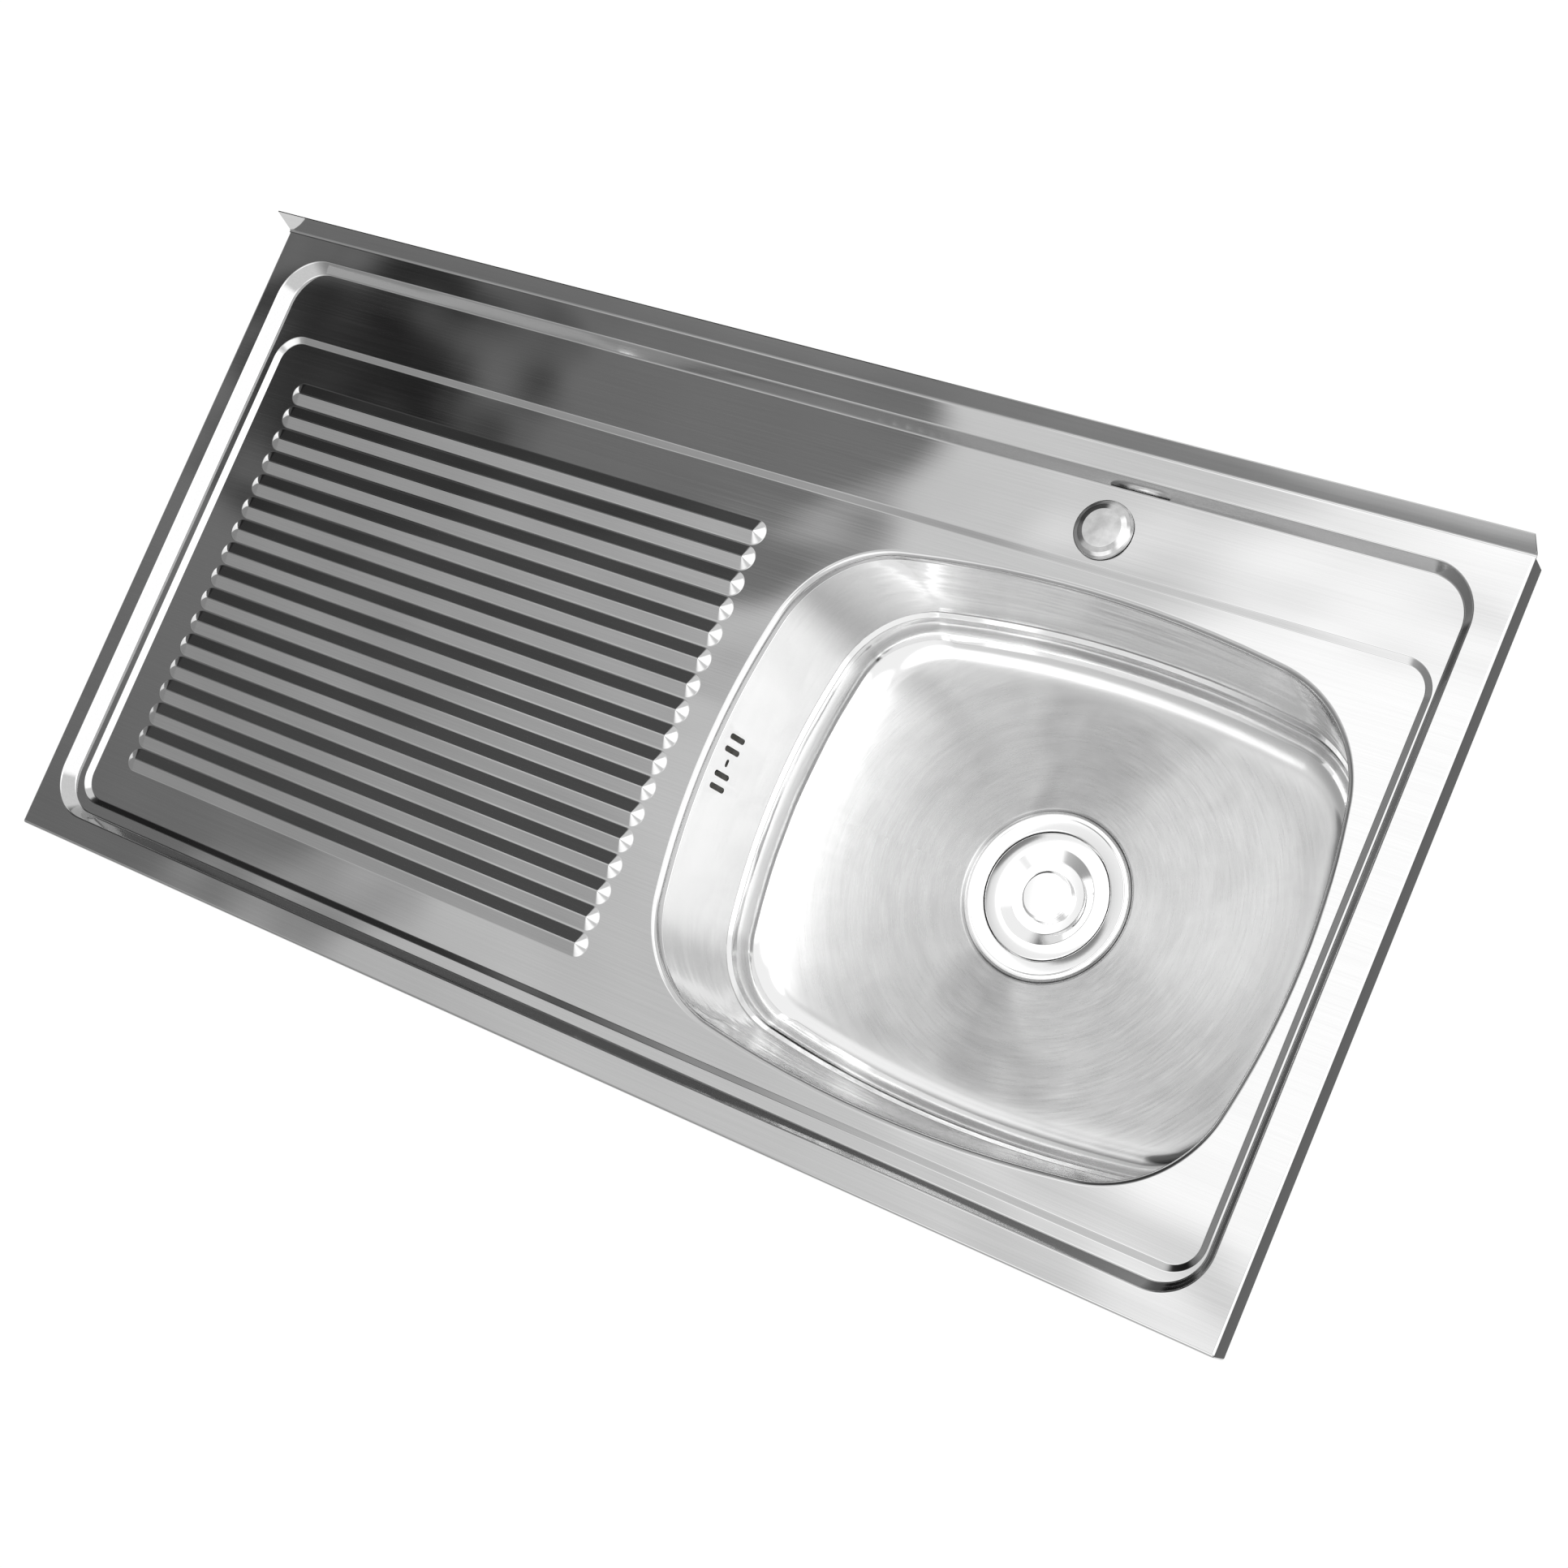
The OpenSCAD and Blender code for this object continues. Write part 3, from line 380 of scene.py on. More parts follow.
# the opening's rim, turned down to the weld
rim = oval_plate("rim", WELL_Z, LIP)
press(rounded([(LIP, WELL_Z, 0), (-RIM_R, WELL_Z, RIM_R), (-RIM_R, SEAM_Z + SEAM_BEND, 0)], 8)
      + [Vector((SEAM_LEAN - RIM_R, SEAM_Z))])
open_middle()

# the edge of the tap hole, then all of it joined and its flats filled
deselect()
bpy.ops.mesh.primitive_circle_add(vertices=64, radius=TAP_HOLE_R, location=(*TAP_AT, SHELF_Z))
tap_hole = called("tap_hole")
bpy.ops.object.transform_apply()
join(deck, upstand, outer_step, inner_step, rim, tap_hole, *ribs)
edit(deck)
merge(JOIN_MM)
close_edit()


def on_border(edge):
    """True for the border's own edges, and false for the short ends beside the upstand."""
    middle = sum((vertex.co for vertex in edge.verts), Vector()) / 2
    return FOLD_W - NEAR_MM < middle.x < DECK_W - FOLD_W + NEAR_MM


fill_level(deck, 0, on_border)
fill_level(deck, SHELF_Z)
fill_level(deck, WELL_Z)
edit(deck)
close_outwards()
face_up(deck)
thicken(deck, SHEET)
settle(deck)


def linear(value):
    """One channel from sRGB to linear."""
    return value / 12.92 if value <= 0.04045 else ((value + 0.055) / 1.055) ** 2.4


def colour(code):
    """A linear colour from an sRGB hex value such as C8C8C8."""
    return [linear(int(code[i:i + 2], 16) / 255) for i in (0, 2, 4)] + [1]


def add(tree, kind, inputs=None, **settings):
    """Adds a node. An input is a value, a socket, or a node that gives its first output."""
    node = tree.nodes.new("ShaderNode" + kind)
    for name, value in settings.items():
        setattr(node, name, value)
    for key, value in (inputs or {}).items():
        if isinstance(value, bpy.types.Node):
            value = value.outputs[0]
        if isinstance(value, bpy.types.NodeSocket):
            tree.links.new(value, node.inputs[key])
        else:
            node.inputs[key].default_value = value
    return node


def new_material(name):
    """A material with no nodes yet, and its tree."""
    material = bpy.data.materials.new(name)
    material.use_nodes = True
    material.node_tree.nodes.clear()
    return material, material.node_tree


def finish_material(tree, shader):
    """Links a shader to the material's output."""
    output = add(tree, "OutputMaterial")
    tree.links.new(shader.outputs[0], output.inputs["Surface"])


def wear(piece, material):
    """Gives a piece one material all over."""
    piece.data.materials.clear()
    piece.data.materials.append(material)


def put(piece, material, node, body="sink"):
    """Finishes a piece that stands for one CAD node."""
    wear(piece, material)
    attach(piece, body)
    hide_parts(node)


# Stainless steel sheet, ground with a belt along its length: fine scratches run left to right and
# spread each reflection across them, and the pressing has left broad shallow waves in the sheet.
# Real scratches are under a tenth of a millimetre wide, and are drawn coarser so that they show.
SCRATCH_MM = 1.1
SCRATCH_LENGTH_MM = 110
WAVE_MM = 120
WAVE_DEPTH = 0.0022
WAVE_STRETCH = (0.8, 1.4, 1.4)
NOISE_SPREAD = {"From Min": 0.3, "From Max": 0.7}
belt_steel, tree = new_material("belt_ground_stainless")
place = add(tree, "TexCoord").outputs["Object"]
along = add(tree, "Mapping", {
    "Vector": place, "Scale": (1000 / SCRATCH_LENGTH_MM, 1000 / SCRATCH_MM, 1000 / SCRATCH_MM)})
scratches = add(tree, "TexNoise", {"Vector": along, "Scale": 1.0, "Detail": 4.0, "Roughness": 0.6})
gloss = add(tree, "MapRange", {"Value": scratches, **NOISE_SPREAD, "To Min": 0.04, "To Max": 0.08})
share = add(tree, "MapRange", {"Value": scratches, **NOISE_SPREAD})
tint = add(tree, "Mix", {0: share, 6: colour("C2C2C2"), 7: colour("C8C8C8")}, data_type="RGBA")
stretched = add(tree, "Mapping", {"Vector": place, "Scale": WAVE_STRETCH})
waves = add(tree, "TexNoise", {
    "Vector": stretched, "Scale": 1000 / WAVE_MM, "Detail": 1.0, "Roughness": 0.4})
sheet_waves = add(tree, "Bump", {"Height": waves, "Strength": 1.0, "Distance": WAVE_DEPTH})
grain = add(tree, "Bump", {
    "Height": scratches, "Strength": 0.02, "Distance": 0.0002, "Normal": sheet_waves})
across = add(tree, "CombineXYZ", {"X": 0.0, "Y": 1.0, "Z": 0.0})
shader = add(tree, "BsdfPrincipled", {
    "Base Color": tint.outputs[2], "Metallic": 1.0, "Roughness": gloss,
    "Anisotropic": 0.6, "Tangent": across, "Normal": grain})
finish_material(tree, shader)
put(deck, belt_steel, "deck")

# The bowl. It is deep drawn from a second sheet and welded to the opening's rim. The wall leans
# in to a crease, then turns through a wide radius to the floor, and the floor is pressed down
# round the waste hole. Five slots in its left wall are the overflow.
WALL_DRAFT = 10
CREASE_Z = -97
CREASE_IN = 3
DRAWN_EDGE_R = 1.5
SEAM_EASE = 0.1
FLOOR_R = 26
FLOOR_Z = -132
FLOOR_DISH = 2.0
DISH_W = 47
DISH_R = 400
DISH_END = 62
RECESS_R = 60.5
RECESS_SLOPE = 2.2
RECESS_DROP = 2
RECESS_LIP = 1
RECESS_EASE = 0.2
HOLE_R = 46
SLOT_Z = -38
SLOT_L = 17
SLOT_W = 4
SLOT_PITCH = 9
DASH_L = 5.5
DASH_W = 3
SLOT_CUTTER_X = BOWL_X - 223
SLOT_CUTTER_START = -15
SLOT_CUTTER_L = 40
wall_foot = -RIM_R - WALL_DRAFT - CREASE_IN - LIP
bowl = oval_plate("bowl_shell", SEAM_Z, SEAM_LEAN - RIM_R)
press([Vector((SEAM_LEAN - RIM_R, SEAM_Z)), Vector((-RIM_R, SEAM_Z - SEAM_BEND))]
      + rounded([
          (-RIM_R, SEAM_Z - SEAM_BEND - SEAM_EASE, 0),
          (-RIM_R - WALL_DRAFT, CREASE_Z, DRAWN_EDGE_R),
          (-RIM_R - WALL_DRAFT - CREASE_IN, CREASE_Z - CREASE_IN, DRAWN_EDGE_R),
          (wall_foot, FLOOR_Z + FLOOR_DISH, FLOOR_R),
          (wall_foot - DISH_W, FLOOR_Z, DISH_R),
          (wall_foot - DISH_END, FLOOR_Z, 0)], 10))
open_middle()


def disc(name, x, y, height, radius, steps=128):
    """A flat round plate, left open in edit mode with its face selected."""
    deselect()
    bpy.ops.mesh.primitive_circle_add(
        vertices=steps, radius=radius, fill_type="NGON", location=(x, y, height))
    piece = called(name)
    bpy.ops.object.transform_apply()
    edit(piece)
    pick("FACE")
    return piece


recess = disc("recess", BOWL_X, BOWL_Y, FLOOR_Z, RECESS_R + RECESS_LIP)
press(rounded([
    (RECESS_R + RECESS_LIP, FLOOR_Z, 0), (RECESS_R - RECESS_EASE, FLOOR_Z, DRAWN_EDGE_R),
    (RECESS_R - RECESS_SLOPE + RECESS_EASE, FLOOR_Z - RECESS_DROP, DRAWN_EDGE_R),
    (HOLE_R, FLOOR_Z - RECESS_DROP, 0)]))
open_middle()
join(bowl, recess)
fill_level(bowl, FLOOR_Z)
edit(bowl)
merge(JOIN_MM)
close_outwards()
face_up(bowl)
thicken(bowl, SHEET)


def raise_block(height):
    """Raises the flat piece that is open in edit mode into a block, and closes it."""
    bpy.ops.mesh.extrude_region_move(TRANSFORM_OT_translate={"value": (0, 0, height)})
    close_outwards()


def turn_to(piece, at, rotation=(0, 0, 0)):
    """Turns a piece modelled at the origin and moves it to its place in the sheet's frame."""
    only(piece)
    piece.rotation_euler = Euler(rotation)
    piece.location = at
    bpy.ops.object.transform_apply()


def combine(piece, tool, operation="DIFFERENCE"):
    """Cuts a tool out of a piece, or joins it on, and removes the tool."""
    modifier = piece.modifiers.new(tool.name, "BOOLEAN")
    modifier.operation = operation
    modifier.solver = "EXACT"
    modifier.object = tool
    apply(piece, modifier)
    bpy.data.objects.remove(tool)


# the overflow slots: four stand up and a short one lies between them
cutters = []
for k in range(-2, 3):
    length, width = (SLOT_L, SLOT_W) if k else (DASH_W, DASH_L)
    cutter = plate(
        "slot_cutter", (-length / 2, -width / 2, length / 2, width / 2), SLOT_CUTTER_START,
        min(length, width) / 2 - ROUND_END_GAP, 8)
    raise_block(SLOT_CUTTER_L)
    turn_to(cutter, (SLOT_CUTTER_X, BOWL_Y + k * SLOT_PITCH, SLOT_Z), (0, pi / 2, 0))
    cutters.append(cutter)
combine(bowl, join(*cutters))
settle(bowl)

# Deep-drawn stainless steel, polished by hand: the wall is nearly bright, with soft level ripples
# where the sheet slid over the draw ring, and the floor is brushed satin in rings round the waste,
# drawn coarser than they are so that they show. Over the rings lie broad arcs and short sweeps of
# the buffing wheel. On the floor's colour lies a painted highlight: a two-bladed fan of reflected
# light that bends as it runs out.
RING_MM = 1.6
RING_CELLS = 4.0
ARC_MM = 9
ARC_CELLS = 1.6
HIGHLIGHT_FAN_BLADES = 2.0
HIGHLIGHT_FAN_BEND = 2.2
DRIFT_MM = 130
SWEEP_MM = 38
SWEEP_SHARE = 0.4
STROKE_SHARE = 0.5
RIPPLE_LENGTH_MM = 250 / 3
RIPPLE_MM = 50 / 3
# the heights between which the wall's polish gives way to the floor's satin, in metres
SATIN_FROM_Z = -0.1288
SATIN_TO_Z = -0.1308
bowl_centre = ((BOWL_X - DECK_W / 2) / 1000, (BOWL_Y - SEAT_Y) / 1000, 0)


def round_the_waste(tree, place):
    """A place seen from the bowl's middle: its three parts, its level part and its distance."""
    off = add(tree, "VectorMath", {0: place, 1: bowl_centre}, operation="SUBTRACT")
    axes = add(tree, "SeparateXYZ", {0: off}).outputs
    level = add(tree, "CombineXYZ", {"X": axes[0], "Y": axes[1]})
    return axes, level, add(tree, "VectorMath", {0: level}, operation="LENGTH").outputs["Value"]


drawn_steel, tree = new_material("satin_polished_stainless")
place = add(tree, "TexCoord").outputs["Object"]
axes, flat_place, radius = round_the_waste(tree, place)
angle = add(tree, "Math", {0: axes[1], 1: axes[0]}, operation="ARCTAN2")
rings_place = add(tree, "CombineXYZ", {
    "X": add(tree, "Math", {0: radius, 1: 1000 / RING_MM}, operation="MULTIPLY"),
    "Y": add(tree, "Math", {0: angle, 1: RING_CELLS}, operation="MULTIPLY"),
    "Z": add(tree, "Math", {0: axes[2], 1: 1000 / RING_MM}, operation="MULTIPLY")})
rings = add(tree, "TexNoise", {
    "Vector": rings_place, "Scale": 1.0, "Detail": 4.0, "Roughness": 0.65})
on_floor = add(tree, "MapRange", {
    "Value": axes[2], "From Min": SATIN_FROM_Z,
    "From Max": SATIN_TO_Z}, interpolation_type="SMOOTHSTEP")
wall_gloss = add(tree, "MapRange", {"Value": rings, **NOISE_SPREAD, "To Min": 0.05, "To Max": 0.09})
floor_gloss = add(tree, "MapRange", {"Value": rings, **NOISE_SPREAD, "To Min": 0.2, "To Max": 0.3})
gloss = add(tree, "Mix", {0: on_floor, 2: wall_gloss, 3: floor_gloss}, data_type="FLOAT")
# the painted highlight: a two-bladed fan of reflected light round the waste, bent by a slow drift
# and painted into the floor's tone
drift = add(tree, "TexNoise", {
    "Vector": flat_place, "Scale": 1000 / DRIFT_MM, "Detail": 2.0, "Roughness": 0.6})
bend = add(tree, "Math", {0: drift, 1: 0.5}, operation="SUBTRACT")
highlight_fan_turn = add(tree, "Math", {0: bend, 1: HIGHLIGHT_FAN_BEND, 2: angle}, operation="MULTIPLY_ADD")
highlight_fan_turn = add(tree, "Math", {0: highlight_fan_turn, 1: HIGHLIGHT_FAN_BLADES}, operation="MULTIPLY")
highlight_fan_wave = add(tree, "Math", {0: highlight_fan_turn}, operation="COSINE")
painted_highlight_fan = add(tree, "MapRange", {
    "Value": highlight_fan_wave, "From Min": -1.0, "From Max": -0.55}, interpolation_type="SMOOTHSTEP")
arcs_place = add(tree, "CombineXYZ", {
    "X": add(tree, "Math", {0: radius, 1: 1000 / ARC_MM}, operation="MULTIPLY"),
    "Y": add(tree, "Math", {0: angle, 1: ARC_CELLS}, operation="MULTIPLY")})
arcs = add(tree, "TexNoise", {
    "Vector": arcs_place, "Scale": 1.0, "Detail": 5.0, "Roughness": 0.6, "Distortion": 0.4})
arc_share = add(tree, "MapRange", {"Value": arcs, "From Min": 0.25, "From Max": 0.75})
sweeps = add(tree, "TexNoise", {
    "Vector": flat_place, "Scale": 1000 / SWEEP_MM, "Detail": 3.0, "Roughness": 0.55,
    "Distortion": 0.8})
sweep_share = add(tree, "MapRange", {"Value": sweeps, **NOISE_SPREAD})
strokes = add(tree, "Mix", {0: SWEEP_SHARE, 2: arc_share, 3: sweep_share}, data_type="FLOAT")
# half of the floor's tone is the painted highlight fan, and half is the polishing strokes
share = add(tree, "Mix", {0: STROKE_SHARE, 2: painted_highlight_fan, 3: strokes}, data_type="FLOAT")
satin = add(tree, "Mix", {
    0: share, 6: colour("9C9C9C"), 7: colour("C4C4C4")}, data_type="RGBA").outputs[2]
tint = add(tree, "Mix", {0: on_floor, 6: colour("F0F0F0"), 7: satin}, data_type="RGBA")
stretched = add(tree, "Mapping", {"Vector": place, "Scale": (
    1000 / RIPPLE_LENGTH_MM, 1000 / RIPPLE_LENGTH_MM, 1000 / RIPPLE_MM)})
ripples = add(tree, "TexNoise", {
    "Vector": stretched, "Scale": 1.0, "Detail": 2.0, "Roughness": 0.5})
drawn_waves = add(tree, "Bump", {"Height": ripples, "Strength": 1.0, "Distance": 0.0004})
grain = add(tree, "Bump", {
    "Height": rings, "Strength": 0.06, "Distance": 0.0002, "Normal": drawn_waves})
ring_way = add(tree, "VectorMath", {0: (0, 0, 1), 1: flat_place}, operation="CROSS_PRODUCT")
facing = add(tree, "NewGeometry").outputs["Normal"]
across = add(tree, "VectorMath", {0: ring_way, 1: facing}, operation="CROSS_PRODUCT")
shader = add(tree, "BsdfPrincipled", {
    "Base Color": tint.outputs[2], "Metallic": 1.0, "Roughness": gloss,
    "Anisotropic": 0.95, "Tangent": across, "Normal": grain})
finish_material(tree, shader)
wear(bowl, drawn_steel)

# The bowl's outside is never polished: it keeps the dull grey of the drawn sheet.
DULL_MM = 45
dull_steel, tree = new_material("mill_finish_stainless")
place = add(tree, "TexCoord").outputs["Object"]
scuffs = add(tree, "TexNoise", {"Vector": place, "Scale": 1000 / DULL_MM, "Detail": 2.0})
share = add(tree, "MapRange", {"Value": scuffs, **NOISE_SPREAD})
tint = add(tree, "Mix", {0: share, 6: colour("9C9C9B"), 7: colour("A9A9A8")}, data_type="RGBA")
gloss = add(tree, "MapRange", {"Value": share, "To Min": 0.3, "To Max": 0.36})
shader = add(tree, "BsdfPrincipled", {
    "Base Color": tint.outputs[2], "Metallic": 1.0, "Roughness": gloss})
finish_material(tree, shader)
bowl.data.materials.append(dull_steel)
bowl_middle = Vector(bowl_centre) + Vector((0, 0, SEAM_Z / 1000))
for face in bowl.data.polygons:
    if face.normal.dot(bowl_middle - face.center) < 0:
        face.material_index = 1
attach(bowl, "sink")
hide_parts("bowl")

# The waste's steel parts. The flanged cup drops through the bowl's hole, the lid closes it, and
# the knob lifts the lid. Each is spun or pressed from bright stainless steel and polished.
SEAT_Z = FLOOR_Z - RECESS_DROP
PRESS = 0.8
TURNED_JOIN_MM = 0.0005
DRILL_L = 6
DRAIN_RING_STEP = 9


def turned(name, outline, at, steps=96, closed=False):
    """Spins an outline of (radius, height) points round an upright axis."""
    x, y, z = at
    deselect()
    bpy.ops.mesh.primitive_plane_add(size=1)
    piece = called(name)
    bpy.ops.object.mode_set(mode="EDIT")
    bpy.ops.mesh.select_mode(type="VERT")
    bpy.ops.mesh.merge(type="CENTER")
    line = [Vector(point) for point in outline] + ([Vector(outline[0])] if closed else [])
    bpy.ops.transform.translate(value=(x + line[0][0], y, z + line[0][1]))
    for here, there in zip(line, line[1:]):
        bpy.ops.mesh.extrude_region_move(
            TRANSFORM_OT_translate={"value": (there[0] - here[0], 0, there[1] - here[1])})
    merge(TURNED_JOIN_MM)
    pick("EDGE")
    bpy.ops.mesh.spin(steps=steps, angle=2 * pi, center=(x, y, z), axis=(0, 0, 1))
    merge(TURNED_JOIN_MM)
    close_outwards()
    return piece


waste_at = (BOWL_X, BOWL_Y, SEAT_Z)
cup = turned("waste_cup", rounded([
    (57.5, 1.2, 0), (56.8, 2.3, 0.6), (54.5, 2.3, 0.6), (53.7, 1.8, 0.6), (44.6, 1.8, 1.0),
    (44.6, -6, 0.4), (41, -6, 0.5), (40.4, -27, 1), (31, -33, 1), (31, -44, 0.8),
    (3.05, -44, 0)]), waste_at)
face_up(cup)
thicken(cup, PRESS)


def drain_holes(piece, outer_ring, hole_r, height):
    """Cuts twelve holes on one circle and eight on a smaller one."""
    drills = []
    for count, ring_r in ((12, outer_ring), (8, outer_ring - DRAIN_RING_STEP)):
        for k in range(count):
            turn = 2 * pi * k / count
            drill = disc(
                "drill", BOWL_X + ring_r * cos(turn), BOWL_Y + ring_r * sin(turn),
                SEAT_Z + height - DRILL_L / 2, hole_r, 24)
            raise_block(DRILL_L)
            drills.append(drill)
    combine(piece, join(*drills))


drain_holes(cup, 23, 2.6, -44)
settle(cup)

lid = turned("waste_lid", rounded([
    (43.9, -5, 0), (43.9, 1.2, 0.8), (33.3, 1.2, 0.8), (25.3, -3, 1.6), (2.05, -3, 0)]), waste_at)
face_up(lid)
thicken(lid, PRESS)
settle(lid)

knob = turned("lid_knob_turned", rounded([
    (0, -3, 0), (14.5, -3, 0), (13.5, -1.2, 0.8), (17.5, 0.6, 0.5), (17.5, 2.4, 0.8),
    (15.5, 3, 0.6), (0, 3, 0)]), waste_at)
settle(knob)

# Bright stainless steel, spun and buffed: nearly a mirror, with faint rings from the lathe, which
# are drawn coarser than they are so that they show.
LATHE_MM = 0.9
bright_steel, tree = new_material("buffed_stainless")
radius = round_the_waste(tree, add(tree, "TexCoord").outputs["Object"])[2]
lathe = add(tree, "TexNoise", {
    "Vector": add(tree, "CombineXYZ", {"X": radius}), "Scale": 1000 / LATHE_MM, "Detail": 3.0})
gloss = add(tree, "MapRange", {"Value": lathe, **NOISE_SPREAD, "To Min": 0.05, "To Max": 0.12})
shader = add(tree, "BsdfPrincipled", {
    "Base Color": colour("EEEEEE"), "Metallic": 1.0, "Roughness": gloss})
finish_material(tree, shader)
for piece, node, body in (
        (cup, "strainer_cup", "sink"), (lid, "lid", "lid_body"), (knob, "lid_knob", "lid_body")):
    put(piece, bright_steel, node, body)

# The tap-hole cover. A spun steel cap, hollow underneath, closes the hole for a tap that isn't
# fitted. It is satin, with small soft clouds where it has been wiped.
TAP_SEAT = (*TAP_AT, SHELF_Z)
cap = turned("tap_hole_cap", rounded([
    (0, 5.5, 0), (13, 5.5, 1.5), (16.5, 4.7, 2), (18.8, 3.5, 2), (20, 2, 1), (20, 1, 0.2),
    (17, 1, 0), (14, 4.3, 0), (5.5, 4.3, 0), (5.5, 1, 0), (0, 1, 0)]), TAP_SEAT, 64)
settle(cap)
CAP_CLOUD_MM = 7
cap_steel, tree = new_material("satin_spun_stainless")
place = add(tree, "TexCoord").outputs["Object"]
clouds = add(tree, "TexNoise", {"Vector": place, "Scale": 1000 / CAP_CLOUD_MM, "Detail": 4.0})
share = add(tree, "MapRange", {"Value": clouds, **NOISE_SPREAD})
tint = add(tree, "Mix", {0: share, 6: colour("B6B6B6"), 7: colour("D0D0D0")}, data_type="RGBA")
gloss = add(tree, "MapRange", {"Value": share, "To Min": 0.06, "To Max": 0.14})
shader = add(tree, "BsdfPrincipled", {
    "Base Color": tint.outputs[2], "Metallic": 1.0, "Roughness": gloss})
finish_material(tree, shader)
put(cap, cap_steel, "tap_cover")

# The tap-hole cover's fixings, under the ledge: a flat rubber ring, a threaded stud, a clamp washer
# and a wing nut that pulls the cover down.
THREAD_PITCH = 1.0
THREAD_DEPTH = 0.35
THREAD_CREST = 0.4
THREAD_ROOT = 0.9
CLAMP_TOP = -SHEET
CLAMP_T = 2
WING_AT = (13, -11.5)
WING_R = 4.72
WING_T = 2.4
ARM_L = 14
ARM_W = 9
ARM_AT = (3.4, -3.5)
ARM_LEAN = radians(38)


def ring_outline(inner, outer, low, high, edge):
    """The closed section of a ring with rounded edges."""
    middle = (inner + outer) / 2
    return rounded([
        (middle, low, 0), (outer, low, edge), (outer, high, edge), (inner, high, edge),
        (inner, low, edge), (middle, low, 0)])


def thread_outline(radius, low, high):
    """The outside of a threaded shank, from its low end to its high end."""
    line = [(0, low), (radius - THREAD_DEPTH, low)]
    turns = int((high - low) / THREAD_PITCH)
    for i in range(turns):
        start = low + (high - low) * i / turns
        line += [(radius, start + THREAD_CREST * THREAD_PITCH),
                 (radius - THREAD_DEPTH, start + THREAD_ROOT * THREAD_PITCH)]
    return line + [(radius - THREAD_DEPTH, high)]


def soften(piece, width, angle=35):
    """Rounds a piece's sharp edges."""
    modifier = piece.modifiers.new("edges", "BEVEL")
    modifier.width = width
    modifier.segments = 2
    modifier.limit_method = "ANGLE"
    modifier.angle_limit = radians(angle)
    apply(piece, modifier)


cover_ring = turned("cover_ring_seal", ring_outline(17.7, 19.5, 0, 1, 0.3), TAP_SEAT)
settle(cover_ring)
stud = turned("cover_threaded_stud", thread_outline(3, -40.8, 4.2) + [(0, 4.2)], TAP_SEAT, 48)
settle(stud)
clamp = turned("cover_clamp_washer", ring_outline(
    3.3, 22.5, CLAMP_TOP - CLAMP_T, CLAMP_TOP, 0.5), TAP_SEAT)
settle(clamp)

wing_nut = turned("wing_nut", rounded([
    (0, -9, 0), (5.4, -9, 0.8), (6, -1, 0.8), (6, 0, 0.5), (0, 0, 0)]), (0, 0, 0), 64)
for side in (1, -1):
    wing = disc("wing", *WING_AT, -WING_T / 2, WING_R, 48)
    raise_block(WING_T)
    arm = plate("wing_arm", (0, -ARM_W / 2, ARM_L, ARM_W / 2), -WING_T / 2)
    raise_block(WING_T)
    turn_to(arm, (*ARM_AT, 0), (0, 0, -ARM_LEAN))
    combine(wing, arm, "UNION")
    soften(wing, 0.5)
    turn_to(wing, (0, 0, 0), (pi / 2, 0, 0 if side > 0 else pi))
    combine(wing_nut, wing, "UNION")
nut_bore = turned("nut_bore", [(0, -12), (3.05, -12), (3.05, 2), (0, 2)], (0, 0, 0), 48)
combine(wing_nut, nut_bore)
turn_to(wing_nut, (*TAP_AT, SHELF_Z + CLAMP_TOP - CLAMP_T))
settle(wing_nut)

# Zinc-plated steel: silver grey with a faint blue, soft sheen and small cloudy patches.
CLOUD_MM = 6
zinc, tree = new_material("zinc_plated_steel")
place = add(tree, "TexCoord").outputs["Object"]
clouds = add(tree, "TexNoise", {"Vector": place, "Scale": 1000 / CLOUD_MM, "Detail": 4.0})
gloss = add(tree, "MapRange", {"Value": clouds, **NOISE_SPREAD, "To Min": 0.22, "To Max": 0.42})
tint = add(tree, "Mix", {0: clouds, 6: colour("B4B8BE"), 7: colour("D0D2D2")}, data_type="RGBA")
shader = add(tree, "BsdfPrincipled", {
    "Base Color": tint.outputs[2], "Metallic": 1.0, "Roughness": gloss})
finish_material(tree, shader)

# Black rubber: matt, with a fine moulded grain and a little bloom where it has been handled. The
# grain is drawn coarser than the mould's own.
GRAIN_MM = 0.4
BLOOM_MM = 9
rubber, tree = new_material("black_nitrile_rubber")
place = add(tree, "TexCoord").outputs["Object"]
specks = add(tree, "TexNoise", {"Vector": place, "Scale": 1000 / GRAIN_MM, "Detail": 3.0})
bloom = add(tree, "TexNoise", {"Vector": place, "Scale": 1000 / BLOOM_MM, "Detail": 3.0})
tint = add(tree, "Mix", {0: bloom, 6: colour("1B1B1B"), 7: colour("2B2B2A")}, data_type="RGBA")
gloss = add(tree, "MapRange", {"Value": specks, "To Min": 0.5, "To Max": 0.7})
grain = add(tree, "Bump", {"Height": specks, "Strength": 0.4, "Distance": 0.00005})
shader = add(tree, "BsdfPrincipled", {
    "Base Color": tint.outputs[2], "Roughness": gloss, "Normal": grain})
finish_material(tree, shader)
put(cover_ring, rubber, "cover_seal")
put(stud, zinc, "cover_stud")
put(clamp, zinc, "cover_clamp")
put(wing_nut, zinc, "cover_wing_nut")

